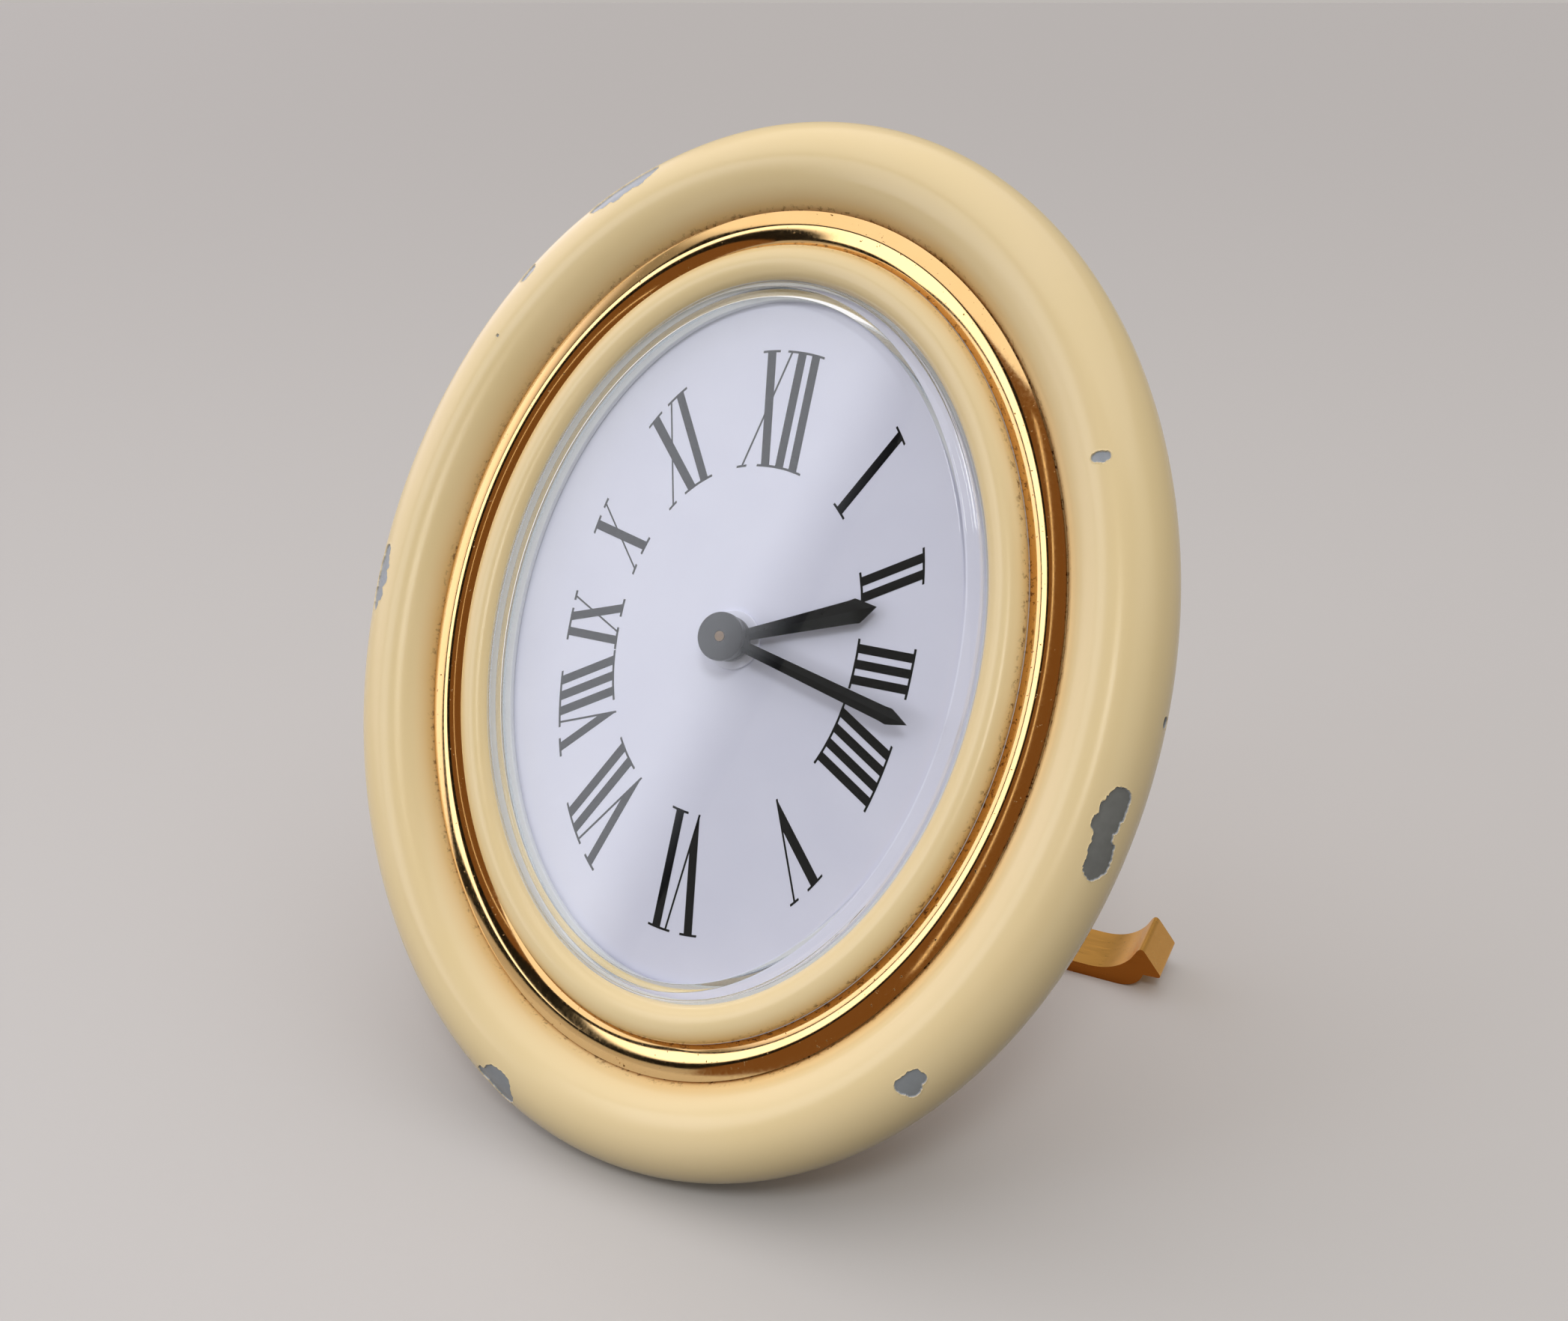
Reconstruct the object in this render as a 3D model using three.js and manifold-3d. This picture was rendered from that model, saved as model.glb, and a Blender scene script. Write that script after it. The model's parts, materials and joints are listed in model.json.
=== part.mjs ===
// An oval desk clock: lacquered frame, gilt trim, raised crystal, quartz movement and a fold-out stand.
// Millimetres and degrees. The clock itself is drawn in the dial's frame: x to the right, y up the dial,
// z out of the dial, with the dial's face at z = 0. The group is then leaned back on its stand, +Z up.
import * as THREE from "three";
import { mergeVertices } from "three/addons/utils/BufferGeometryUtils.js";
import { ParametricGeometry } from "three/addons/geometries/ParametricGeometry.js";
import { ConvexGeometry } from "three/addons/geometries/ConvexGeometry.js";
import Module from "manifold-3d";

const wasm = await Module();
wasm.setup();

// Clearances
const seatGap = 0.15; // between faces that rest on each other
const fitGap = 0.3; // around a piece that drops into an opening
const runGap = 0.15; // around a turning shaft
const pinGap = 0.05; // around the hinge pin

// Case front: the frame is a round tube bent to an oval, the other rings follow it inwards
const caseWidth = 73.7;
const caseHeight = 90.4;
const frameTube = 8.5;
const tubeMid = 0.7; // middle of the tube over the dial's face
const leanAngle = 28; // lean of the dial from upright
const trimWidth = 2.55;
const trimEdge = 0.2;
const trimCrown = 0.95;
const grooveGap = 0.22; // groove on each side of the trim ring
const bezelWidth = 3.15;
const bezelEdge = 0.35;
const bezelCrown = 1.15;
const ringSteps = 48;
const arcSteps = 15;
const crownSteps = 5;

// Crystal and dial, stacked from the dial's face forwards
const spacerHeight = 0.6;
const spacerWidth = 2.2;
const gasketHeight = 0.3;
const gasketWidth = 1.5;
const flangeHeight = 0.7;
const flangeLap = 1.3;
const crystalRise = 2.75;
const crystalThick = 1.2;
const crystalWall = 1.3;
const crystalBevel = 1.2;
const dialThick = 0.4;

// Case back
const shelfDepth = 4.65;
const coverFlange = 1;
const coverLip = 2.8; // width of the cover's flange outside its wall
const coverWall = 1.2;
const coverFloor = 1.2;
const ringWall = 1.1; // movement ring
const ledgeWidth = 1.5;
const ledgeThick = 1;

// Movement, from the dial backwards
const wheelSpace = 0.45; // dial's back to the hour wheel
const hourWheelThick = 0.6;
const minuteWheelThick = 0.5;
const motionStep = 0.8; // hour wheel to minute wheel
const plateSpace = 0.65; // minute wheel to main plate
const plateThick = 1;
const trainDepth = 4.1; // main plate to train bridge
const bridgeThick = 1;
const bridgeEdge = 2.4; // bridge's edge round its pillars and pivots
const pillarClear = 1.1; // pillars to the nearest wheel or shaft
const backSpace = 1.8; // train bridge to the cover's floor
const trainWheelThick = 0.4;
const trainStep = 1.3; // from one train wheel to the next
const firstWheelSpace = 0.4; // main plate to the centre wheel
const pinionOver = 0.2; // how far a pinion is longer than its wheel on each side

// Gears: tooth counts, and the module, the pitch diameter over the count
const cannonTeeth = 12;
const minuteTeeth = 36;
const minutePinionTeeth = 10;
const hourTeeth = 40;
const setTeeth = 12;
const motionDistance = 5; // centre of the dial to the minute wheel
const motionAngle = 40; // direction of the minute wheel and the setting shaft
const trainModule = 0.14;
const trainPinionTeeth = 6;
const centreTeeth = 90;
const thirdTeeth = 72;
const intermediateTeeth = 60;
const addendum = 0.55; // of the module
const dedendum = 1.05; // of the module
const tipShare = 0.1; // tooth tip, of the tooth pitch
const arborRadius = 0.6;
const handPinRadius = 0.43;
const pipeRadius = 1.1;
const trainArbor = 0.22;
const postRadius = 0.5;

// Hands and their cap
const hourAngle = 68.8; // clockwise from twelve
const minuteAngle = 103.3;
const hourLength = 13.4;
const minuteLength = 17.8;
const hourWidth = 2.1;
const minuteWidth = 1.4;
const handShoulder = 1.7; // tip to the widest place
const handRoot = 0.95; // width at the hub
const handThick = 0.4;
const handHub = 1.95;
const handBoss = 0.2; // hub under the blade
const hourHandBase = 0.95;
const handStep = 0.75; // hour hand to minute hand
const capRadius = 2.07;
const capHeight = 0.55;
const eyeletRadius = 2.55;
const eyeletHeight = 0.3;
const eyeletWall = 0.3;

// Battery, board and motor
const cellRadius = 5.8;
const cellHeight = 4.2;
const holderWall = 1;
const holderHeight = 4.6;
const hatchRadius = 7.3;
const hatchThick = 1;
const hatchLug = 1.2;
const hatchLugWidth = 2.6;
const hatchLugThick = 0.5;
const coinSlot = 1.4;
const contactThick = 0.25;
const contactWidth = 1.5;
const contactSpace = 0.5; // between the two contacts
const boardThick = 0.8;
const boardMargin = 1.8; // board to the movement ring's ledge
const boardHeight = 17.5;
const boardClear = 0.9; // board to the centre wheel and to the setting shaft
const boardGap = 0.4; // main plate to board
const crystalCan = 1; // radius of the quartz can
const canLength = 6.2;
const chipRadius = 2;
const chipHeight = 0.9;
const statorThick = 0.6;
const statorSpace = 0.7; // main plate to stator
const statorReach = 8.4; // rotor's axis to each end of the stator
const statorBand = 2.45; // rotor's axis to the stator's edge
const coilDrop = 6.6; // rotor's axis to the coil's axis
const coilRadius = 1.6;
const coilLength = 9.4;
const coreWidth = 2.4;
const magnetRadius = 1.25;
const magnetLength = 1;

// Setting knob and screws
const knobRadius = 3.2;
const knobLength = 2.5;
const knobFlutes = 14;
const knobFlute = 0.35;
const setShaft = 0.75;
const screwShank = 0.7;
const screwHead = 1.35;
const screwHeadHeight = 0.6;
const screwBite = 1.9; // how deep a screw goes into what holds it
const screwSlot = 0.4;
const smallShank = 0.45;
const smallHead = 0.9;

// Stand: the foot's bar lies along the floor, behind the clock
const footReach = 42.2; // frame's contact with the floor to the front of the foot
const footWidth = 70.2;
const footDepth = 6.4;
const footThick = 1.3;
const flareLength = 4.7; // where the end begins to rise
const flareHeight = 4.8; // crest over the floor
const crestInset = 2.4;
const tipHeight = 1.9;
const stemThick = 1.8;
const stemWaist = 7;
const stemFlare = 15; // width where the stem meets the bar
const hingeEdge = 3.25; // bracket's lower edge to the edge of the cover's floor
const barrelRadius = 1.6;
const barrelLength = 11.4;
const pinRadius = 0.8;
const knuckleWidth = 3;
const bracketThick = 1;
const bracketTop = 6.5; // hinge to the bracket's upper edge
const bracketFoot = 4; // hinge to the bracket's lower edge
const heelLength = 3.2;

// Finishes
const finish = (color, roughness, metalness) => new THREE.MeshStandardMaterial(
  { color, roughness, metalness },
);
const ivoryLacquer = finish("#e6d3a3", 0.28, 0);
const polishedGilt = finish("#d9a441", 0.15, 1);
const brushedGilt = finish("#c9993f", 0.35, 1);
const mineralGlass = new THREE.MeshStandardMaterial({
  color: "#eef4f6",
  roughness: 0.03,
  transparent: true,
  opacity: 0.3,
});
const whiteDial = finish("#dfe1ec", 0.45, 0);
const greyPlastic = finish("#c9cbcf", 0.5, 0);
const whiteRubber = finish("#d6d7d8", 0.7, 0);
const blackPlastic = finish("#2a2a2c", 0.5, 0);
const blackHand = finish("#141417", 0.3, 0.2);
const greyCap = finish("#4d4d52", 0.4, 0.3);
const brass = finish("#c8a452", 0.3, 1);
const nickel = finish("#b9babd", 0.3, 1);
const steel = finish("#8f9296", 0.35, 1);
const copper = finish("#a5602f", 0.4, 0.8);
const greenBoard = finish("#2f6b45", 0.6, 0);

// Scene graph: the clock leans back, the stand stays level
const desktopClock = new THREE.Group();
const clock = new THREE.Group();
const stand = new THREE.Group();
const lean = THREE.MathUtils.degToRad(leanAngle);
const tilt = Math.PI / 2 - lean;
clock.rotation.x = tilt;
desktopClock.add(clock, stand);

function piece(name, geometry, material, parent = clock) {
  const mesh = new THREE.Mesh(geometry, material);
  mesh.name = name;
  parent.add(mesh);
  return mesh;
}

// Solids that are joined and cut
function solid(geometry) {
  const bare = new THREE.BufferGeometry();
  const loose = geometry.index ? geometry.toNonIndexed() : geometry;
  bare.setAttribute("position", loose.getAttribute("position").clone());
  const merged = mergeVertices(bare, 1e-4);
  const vertProperties = new Float32Array(merged.getAttribute("position").array);
  const triVerts = new Uint32Array(merged.index.array);
  return new wasm.Manifold(new wasm.Mesh({ numProp: 3, vertProperties, triVerts }));
}

function surface(body) {
  const mesh = body.getMesh();
  const geometry = new THREE.BufferGeometry();
  geometry.setAttribute("position", new THREE.BufferAttribute(new Float32Array(mesh.vertProperties), 3));
  geometry.setIndex(new THREE.BufferAttribute(new Uint32Array(mesh.triVerts), 1));
  return geometry;
}

const joined = (...parts) => surface(parts.map(solid).reduce((a, b) => a.add(b)));
const cut = (whole, ...tools) => surface(tools.map(solid).reduce((a, b) => a.subtract(b), solid(whole)));
const common = (a, b) => surface(solid(a).intersect(solid(b)));

// Building shapes
const middleWidth = caseWidth / 2 - frameTube / 2;
const middleHeight = caseHeight / 2 - frameTube / 2;

function ovalPoint(inset, angle) {
  const normal = new THREE.Vector2(
    Math.cos(angle) / middleWidth,
    Math.sin(angle) / middleHeight,
  ).normalize();
  return new THREE.Vector2(
    middleWidth * Math.cos(angle) - inset * normal.x,
    middleHeight * Math.sin(angle) - inset * normal.y,
  );
}

// a ring along the frame's oval, from the corners of its section as [inset, height]
function ovalRing(section, steps = ringSteps) {
  const count = section.length;
  const area = THREE.ShapeUtils.area(section.map(([inset, height]) => new THREE.Vector2(inset, height)));
  const corners = area > 0 ? [...section].reverse() : section;
  const place = (u, v, target) => {
    const [inset, height] = corners[Math.round(v * count) % count];
    const p = ovalPoint(inset, 2 * Math.PI * u);
    target.set(p.x, p.y, height);
  };
  return new ParametricGeometry(place, steps, count);
}

// half the width of an inset oval at a height y
function ovalHalfWidth(inset, y) {
  return (middleWidth - inset) * Math.sqrt(1 - (y / (middleHeight - inset)) ** 2);
}

function ovalShape(inset, steps = ringSteps) {
  const points = [];
  for (let i = 0; i < steps; i += 1) points.push(ovalPoint(inset, (2 * Math.PI * i) / steps));
  return new THREE.Shape(points);
}

function plate(shape, low, high) {
  const geometry = new THREE.ExtrudeGeometry(
    shape,
    { depth: high - low, bevelEnabled: false, curveSegments: 8 },
  );
  return geometry.translate(0, 0, low);
}

function rod(radius, low, high, x = 0, y = 0, sides = 16) {
  const geometry = new THREE.CylinderGeometry(radius, radius, high - low, sides);
  return geometry.rotateX(Math.PI / 2).translate(x, y, (low + high) / 2);
}

function block(left, right, bottom, top, low, high) {
  const geometry = new THREE.BoxGeometry(right - left, top - bottom, high - low);
  return geometry.translate((left + right) / 2, (bottom + top) / 2, (low + high) / 2);
}

function tube(outer, inner, low, high, x = 0, y = 0, sides = 20) {
  const corners = [
    [inner, low],
    [outer, low],
    [outer, high],
    [inner, high],
    [inner, low],
  ];
  const profile = corners.map(([r, z]) => new THREE.Vector2(r, z));
  return new THREE.LatheGeometry(profile, sides).rotateX(Math.PI / 2).translate(x, y, 0);
}

// a section with straight sides and a rounded crown, on top of a seat
function crownedSection(outer, width, base, edge, crown) {
  const section = [[outer + width, base]];
  section.push([outer, base]);
  for (let i = 0; i <= crownSteps; i += 1) {
    const a = (Math.PI * i) / crownSteps;
    section.push([outer + (width / 2) * (1 - Math.cos(a)), base + edge + crown * Math.sin(a)]);
  }
  return section;
}

// a toothed outline with one tooth centred at the angle turn
function gearShape(teeth, module, turn) {
  const pitch = (teeth * module) / 2;
  const tip = pitch + addendum * module;
  const root = pitch - dedendum * module;
  const step = (2 * Math.PI) / teeth;
  const points = [];
  for (let i = 0; i < teeth; i += 1) {
    const middle = turn + i * step;
    for (const [radius, angle] of [
      [tip, middle - (tipShare * step) / 2],
      [tip, middle + (tipShare * step) / 2],
      [root, middle + step / 2],
    ]) {
      points.push(new THREE.Vector2(radius * Math.cos(angle), radius * Math.sin(angle)));
    }
  }
  return new THREE.Shape(points);
}

const gear = (teeth, module, turn, low, high, x = 0, y = 0) =>
  plate(gearShape(teeth, module, turn), low, high).translate(x, y, 0);

// Levels along the dial's axis
const tubeRadius = frameTube / 2;
const spacerBase = seatGap;
const gasketBase = spacerBase + spacerHeight + seatGap;
const flangeBase = gasketBase + gasketHeight + seatGap;
const shelfTop = flangeBase + flangeHeight;
const shelfBottom = shelfTop - shelfDepth;
const ringBase = shelfTop + seatGap;
const crystalTop = shelfTop + crystalRise;
const ringFront = -dialThick - seatGap;
const hourWheelFront = -dialThick - wheelSpace;
const hourWheelBack = hourWheelFront - hourWheelThick;
const minuteWheelFront = hourWheelBack - motionStep;
const minuteWheelBack = minuteWheelFront - minuteWheelThick;
const plateFront = minuteWheelBack - plateSpace;
const plateBack = plateFront - plateThick;
const ledgeFront = plateBack - seatGap;
const ledgeBack = ledgeFront - ledgeThick;
const bridgeFront = plateBack - trainDepth;
const bridgeBack = bridgeFront - bridgeThick;
const coverInside = bridgeBack - backSpace;
const coverBack = coverInside - coverFloor;

// Insets from the frame's middle line
const frameFoot = Math.sqrt(tubeRadius ** 2 - (shelfTop - tubeMid) ** 2);
const trimInset = frameFoot + grooveGap;
const bezelInset = trimInset + trimWidth + grooveGap;
const bezelInner = bezelInset + bezelWidth;
const wallInset = bezelInner + fitGap;
// outer edge of the crystal's flange, the dial and the movement ring
const stackInset = wallInset - flangeLap;
const shelfInset = stackInset - fitGap;
const ledgeInset = stackInset + ringWall + ledgeWidth;
const plateInset = stackInset + ringWall + fitGap;
const coverInner = shelfInset - fitGap * 5;
const coverOuter = coverInner - coverWall;
const coverEdge = coverOuter - coverLip;

// Places where the cover's screws and the movement's screws stand
const coverScrewInset = coverOuter - coverLip / 2;
const plateScrewInset = (plateInset + ledgeInset) / 2;
const cornerAngles = [40, 140, 220, 320].map(THREE.MathUtils.degToRad);
const coverScrews = cornerAngles.map((angle) => ovalPoint(coverScrewInset, angle));
const plateScrews = cornerAngles.map((angle) => ovalPoint(plateScrewInset, angle));

// a screw whose head rests on a face that looks to the back, or to the front
function screw(name, x, y, face, reach, shank, head, forward, material) {
  const way = forward ? 1 : -1;
  const seat = face + way * seatGap;
  const crown = seat + way * screwHeadHeight;
  const end = face - way * reach;
  const headRod = rod(head, Math.min(seat, crown), Math.max(seat, crown), x, y, 12);
  const shankRod = rod(shank, Math.min(seat, end), Math.max(seat, end), x, y, 8);
  const slotFloor = crown - (way * screwHeadHeight) / 2;
  const slotTop = crown + way;
  const slot = block(
    x - head - 1,
    x + head + 1,
    y - screwSlot / 2,
    y + screwSlot / 2,
    Math.min(slotFloor, slotTop),
    Math.max(slotFloor, slotTop),
  );
  piece(name, cut(joined(headRod, shankRod), slot), material);
}

// Frame: the tube with an inner shelf that carries the rings, the cover and the stack behind the crystal
function frame() {
  const section = [
    [shelfInset, shelfBottom],
    [shelfInset, shelfTop],
  ];
  const start = Math.asin((shelfTop - tubeMid) / tubeRadius);
  const end = Math.PI - Math.asin((shelfBottom - tubeMid) / tubeRadius);
  // from the inner foot over the front, the outside and the back to the shelf's underside
  const sweep = 3 * Math.PI - start - end;
  for (let i = 0; i <= arcSteps; i += 1) {
    const a = Math.PI - start - (sweep * i) / arcSteps;
    section.push([-tubeRadius * Math.cos(a), tubeMid + tubeRadius * Math.sin(a)]);
  }
  const holes = coverScrews.map((p) =>
    rod(screwShank + runGap, shelfBottom - 1, shelfBottom + screwBite, p.x, p.y, 10),
  );
  return cut(ovalRing(section), ...holes);
}

piece("case_frame", frame(), ivoryLacquer);
piece(
  "trim_ring",
  ovalRing(crownedSection(trimInset, trimWidth, ringBase, trimEdge, trimCrown)),
  polishedGilt,
);
piece(
  "inner_bezel",
  ovalRing(crownedSection(bezelInset, bezelWidth, ringBase, bezelEdge, bezelCrown)),
  ivoryLacquer,
);

// Crystal: a flat top on a sloping wall, with a flange that the bezel holds down
function crystal() {
  const outer = [
    [stackInset, flangeBase],
    [stackInset, shelfTop],
    [wallInset, shelfTop],
    [wallInset, ringBase + bezelEdge],
    [wallInset + crystalBevel, crystalTop],
  ];
  const bowl = plate(ovalShape(wallInset + crystalBevel), flangeBase, crystalTop);
  const wall = ovalRing(
    [...outer, [wallInset + crystalBevel * 1.2, crystalTop], [wallInset + crystalBevel * 1.2, flangeBase]],
  );
  const inside = ovalRing([
    [wallInset + crystalWall, flangeBase - 1],
    [wallInset + crystalWall, flangeBase + flangeHeight],
    [wallInset + crystalWall + crystalBevel, crystalTop - crystalThick],
    [wallInset + crystalWall + crystalBevel * 1.5, crystalTop - crystalThick],
    [wallInset + crystalWall + crystalBevel * 1.5, flangeBase - 1],
  ]);
  const well = plate(
    ovalShape(wallInset + crystalWall + crystalBevel),
    flangeBase - 1,
    crystalTop - crystalThick,
  );
  return cut(joined(bowl, wall), inside, well);
}

const bandSection = (outer, width, low, height) => [
  [outer + width, low],
  [outer, low],
  [outer, low + height],
  [outer + width, low + height],
];
piece("crystal", crystal(), mineralGlass);
piece(
  "crystal_gasket",
  ovalRing(bandSection(stackInset, gasketWidth, gasketBase, gasketHeight)),
  whiteRubber,
);
piece(
  "dial_spacer",
  ovalRing(bandSection(stackInset, spacerWidth, spacerBase, spacerHeight)),
  greyPlastic,
);

// Dial with its centre hole, and the eyelet that lines the hole
const eyeletHole = pipeRadius + fitGap;
const dialHole = eyeletHole + eyeletWall + runGap;
piece(
  "dial",
  cut(plate(ovalShape(stackInset), -dialThick, 0), rod(dialHole, -dialThick - 1, 1, 0, 0, 24)),
  whiteDial,
);
const eyeletFlange = tube(eyeletRadius, eyeletHole, pinGap, eyeletHeight + pinGap, 0, 0, 28);
const eyeletPipe = tube(eyeletHole + eyeletWall, eyeletHole, -dialThick, eyeletHeight, 0, 0, 28);
piece("dial_eyelet", joined(eyeletFlange, eyeletPipe), whiteDial);

// Movement ring: fills the case behind the dial, with a ledge for the main plate
const ringBack = coverInside + seatGap;
const movementRing = ovalRing([
  [stackInset, ringBack],
  [stackInset, ringFront],
  [stackInset + ringWall, ringFront],
  [stackInset + ringWall, ledgeFront],
  [ledgeInset, ledgeFront],
  [ledgeInset, ledgeBack],
  [stackInset + ringWall, ledgeBack],
  [stackInset + ringWall, ringBack],
]);
const ledgeHoles = plateScrews.map(
  (p) => rod(smallShank + runGap, ledgeBack - 1, ledgeFront + 1, p.x, p.y, 10),
);
piece("movement_ring", cut(movementRing, ...ledgeHoles), greyPlastic);

// Gear places
const motionModule = (2 * motionDistance) / (cannonTeeth + minuteTeeth);
const hourModule = (2 * motionDistance) / (minutePinionTeeth + hourTeeth);
const setDistance = motionDistance + (motionModule * (minuteTeeth + setTeeth)) / 2;
const place = (from, distance, degrees) => {
  const a = THREE.MathUtils.degToRad(degrees);
  return { x: from.x + distance * Math.cos(a), y: from.y + distance * Math.sin(a), turn: a };
};
const meshDistance = (teeth) => (trainModule * (teeth + trainPinionTeeth)) / 2;
const centre = { x: 0, y: 0 };
const minuteAxis = place(centre, motionDistance, motionAngle);
const setAxis = place(centre, setDistance, motionAngle);
const thirdAxis = place(centre, meshDistance(centreTeeth), 200);
const intermediateAxis = place(thirdAxis, meshDistance(thirdTeeth), 250);
const rotorAxis = place(intermediateAxis, meshDistance(intermediateTeeth), 330);

// Main plate, with the minute wheel's post on its front and the bridge's pillars on its back
const statorFront = plateBack - statorSpace;
const coilY = rotorAxis.y - coilDrop;
const motorScrews = [-1, 1].map(
  (side) => ({ x: rotorAxis.x + side * (statorReach - coreWidth / 2), y: coilY }),
);
const tipRadius = (teeth, module) => (teeth / 2 + addendum) * module;
const centreWheelRadius = tipRadius(centreTeeth, trainModule);
const pillars = [
  place(centre, centreWheelRadius + screwHead + pillarClear, 56),
  place(thirdAxis, tipRadius(thirdTeeth, trainModule) + screwHead + pillarClear, 129),
  place(centre, centreWheelRadius + screwHead + pillarClear, -50),
];
const trainAxes = [thirdAxis, intermediateAxis, rotorAxis];

function mainPlate() {
  const base = plate(ovalShape(plateInset), plateBack, plateFront);
  const post = rod(
    postRadius,
    plateFront - plateThick / 2,
    hourWheelFront,
    minuteAxis.x,
    minuteAxis.y,
    12,
  );
  const posts = pillars.map(
    (p) => rod(screwHead, bridgeFront + seatGap, plateBack + plateThick / 2, p.x, p.y, 12),
  );
  const through = (radius, p) => rod(radius, bridgeBack, plateFront + 1, p.x, p.y, 12);
  const holes = [
    through(arborRadius + runGap, centre),
    through(setShaft + runGap, setAxis),
    ...plateScrews.map((p) => through(smallShank + runGap, p)),
    ...motorScrews.map((p) => through(smallShank + runGap, p)),
    ...trainAxes.map(
      (p) => rod(trainArbor + pinGap, plateBack - 1, plateBack + plateThick / 2, p.x, p.y, 8),
    ),
    ...pillars.map((p) => rod(smallShank + runGap, bridgeBack, bridgeFront + screwBite, p.x, p.y, 10)),
  ];
  return cut(joined(base, post, ...posts), ...holes);
}

piece("main_plate", mainPlate(), brass);
plateScrews.forEach((p, i) =>
  screw(
    `plate_screw_${i + 1}`,
    p.x,
    p.y,
    plateFront,
    plateThick + ledgeThick,
    smallShank,
    smallHead,
    true,
    steel,
  ),
);

// Train bridge, a plate on the pillars that carries the back pivots
function trainBridge() {
  const corners = [...pillars, ...trainAxes, setAxis];
  const points = [];
  for (const p of corners) {
    for (let i = 0; i < 12; i += 1) {
      const q = place(p, bridgeEdge, 30 * i);
      points.push(new THREE.Vector3(q.x, q.y, bridgeBack), new THREE.Vector3(q.x, q.y, bridgeFront));
    }
  }
  const through = (radius, p) => rod(radius, bridgeBack - 1, bridgeFront + 1, p.x, p.y, 10);
  return cut(
    new ConvexGeometry(points),
    through(arborRadius + runGap, centre),
    through(setShaft + runGap, setAxis),
    ...trainAxes.map((p) => through(trainArbor + pinGap, p)),
    ...pillars.map((p) => through(smallShank + runGap, p)),
  );
}

piece("train_bridge", trainBridge(), brass);
pillars.forEach((p, i) =>
  screw(
    `bridge_screw_${i + 1}`,
    p.x,
    p.y,
    bridgeBack,
    bridgeThick + screwBite - seatGap,
    smallShank,
    smallHead,
    false,
    steel,
  ),
);

// Motion work: minute arbor with its cannon pinion, minute wheel and hour wheel
const minuteHandBase = hourHandBase + handStep;
const capBase = minuteHandBase + handThick + seatGap;
const capTop = capBase + capHeight;
const half = Math.PI / 2;
const cannonLow = minuteWheelBack - pinionOver / 2;
const cannonHigh = minuteWheelFront + pinionOver / 2;
const thinEnd = minuteHandBase - handBoss - seatGap;
piece(
  "centre_arbor",
  joined(
    rod(arborRadius, bridgeBack + seatGap, thinEnd, 0, 0, 14),
    rod(handPinRadius, thinEnd - 1, capTop + pinGap, 0, 0, 14),
    gear(cannonTeeth, motionModule, minuteAxis.turn, cannonLow, cannonHigh),
  ),
  brass,
);
const minuteTurn = minuteAxis.turn + Math.PI / minuteTeeth;
// from the minute wheel to the centre, and from the setting shaft
const facing = minuteAxis.turn + Math.PI;
const minuteBore = rod(
  postRadius + runGap,
  minuteWheelBack - 1,
  hourWheelFront + 1,
  minuteAxis.x,
  minuteAxis.y,
  12,
);
piece(
  "minute_wheel",
  cut(
    joined(
      gear(
        minuteTeeth,
        motionModule,
        minuteTurn,
        minuteWheelBack,
        minuteWheelFront,
        minuteAxis.x,
        minuteAxis.y,
      ),
      gear(
        minutePinionTeeth,
        hourModule,
        facing,
        minuteWheelBack,
        hourWheelFront + pinionOver / 2,
        minuteAxis.x,
        minuteAxis.y,
      ),
    ),
    minuteBore,
  ),
  brass,
);
const hourPipeTop = hourHandBase + handThick;
piece(
  "hour_wheel",
  cut(
    joined(
      gear(hourTeeth, hourModule, minuteAxis.turn + Math.PI / hourTeeth, hourWheelBack, hourWheelFront),
      rod(pipeRadius, hourWheelBack, hourPipeTop, 0, 0, 18),
    ),
    rod(arborRadius + runGap, hourWheelBack - 1, hourPipeTop + 1, 0, 0, 14),
  ),
  brass,
);

// Going train: rotor, intermediate wheel, third wheel and the loose centre wheel on the minute arbor
const levelFront = (index) => plateBack - firstWheelSpace - index * trainStep;
const levelBack = (index) => levelFront(index) - trainWheelThick;
const pinion = (axis, level, turn) =>
  gear(
    trainPinionTeeth,
    trainModule,
    turn,
    levelBack(level) - pinionOver,
    levelFront(level) + pinionOver,
    axis.x,
    axis.y,
  );
const arbor = (axis) => rod(
  trainArbor,
  bridgeFront - bridgeThick / 2,
  plateBack + plateThick / 3,
  axis.x,
  axis.y,
  8,
);
const wheel = (teeth, axis, level, turn) =>
  gear(teeth, trainModule, turn, levelBack(level), levelFront(level), axis.x, axis.y);
const gapTurn = (teeth, turn) => turn + Math.PI / teeth;
piece(
  "centre_wheel",
  cut(
    wheel(centreTeeth, centre, 0, gapTurn(centreTeeth, thirdAxis.turn)),
    rod(arborRadius + runGap, levelBack(0) - 1, levelFront(0) + 1, 0, 0, 14),
  ),
  brass,
);
piece(
  "third_wheel",
  joined(
    arbor(thirdAxis),
    pinion(thirdAxis, 0, thirdAxis.turn + Math.PI),
    wheel(thirdTeeth, thirdAxis, 1, gapTurn(thirdTeeth, intermediateAxis.turn)),
  ),
  brass,
);
piece(
  "intermediate_wheel",
  joined(
    arbor(intermediateAxis),
    pinion(intermediateAxis, 1, intermediateAxis.turn + Math.PI),
    wheel(intermediateTeeth, intermediateAxis, 2, gapTurn(intermediateTeeth, rotorAxis.turn)),
  ),
  brass,
);
const magnetMiddle = statorFront - statorThick / 2;
piece(
  "rotor",
  joined(
    arbor(rotorAxis),
    pinion(rotorAxis, 2, rotorAxis.turn + Math.PI),
    rod(
      magnetRadius,
      magnetMiddle - magnetLength / 2,
      magnetMiddle + magnetLength / 2,
      rotorAxis.x,
      rotorAxis.y,
      16,
    ),
  ),
  steel,
);

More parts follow.
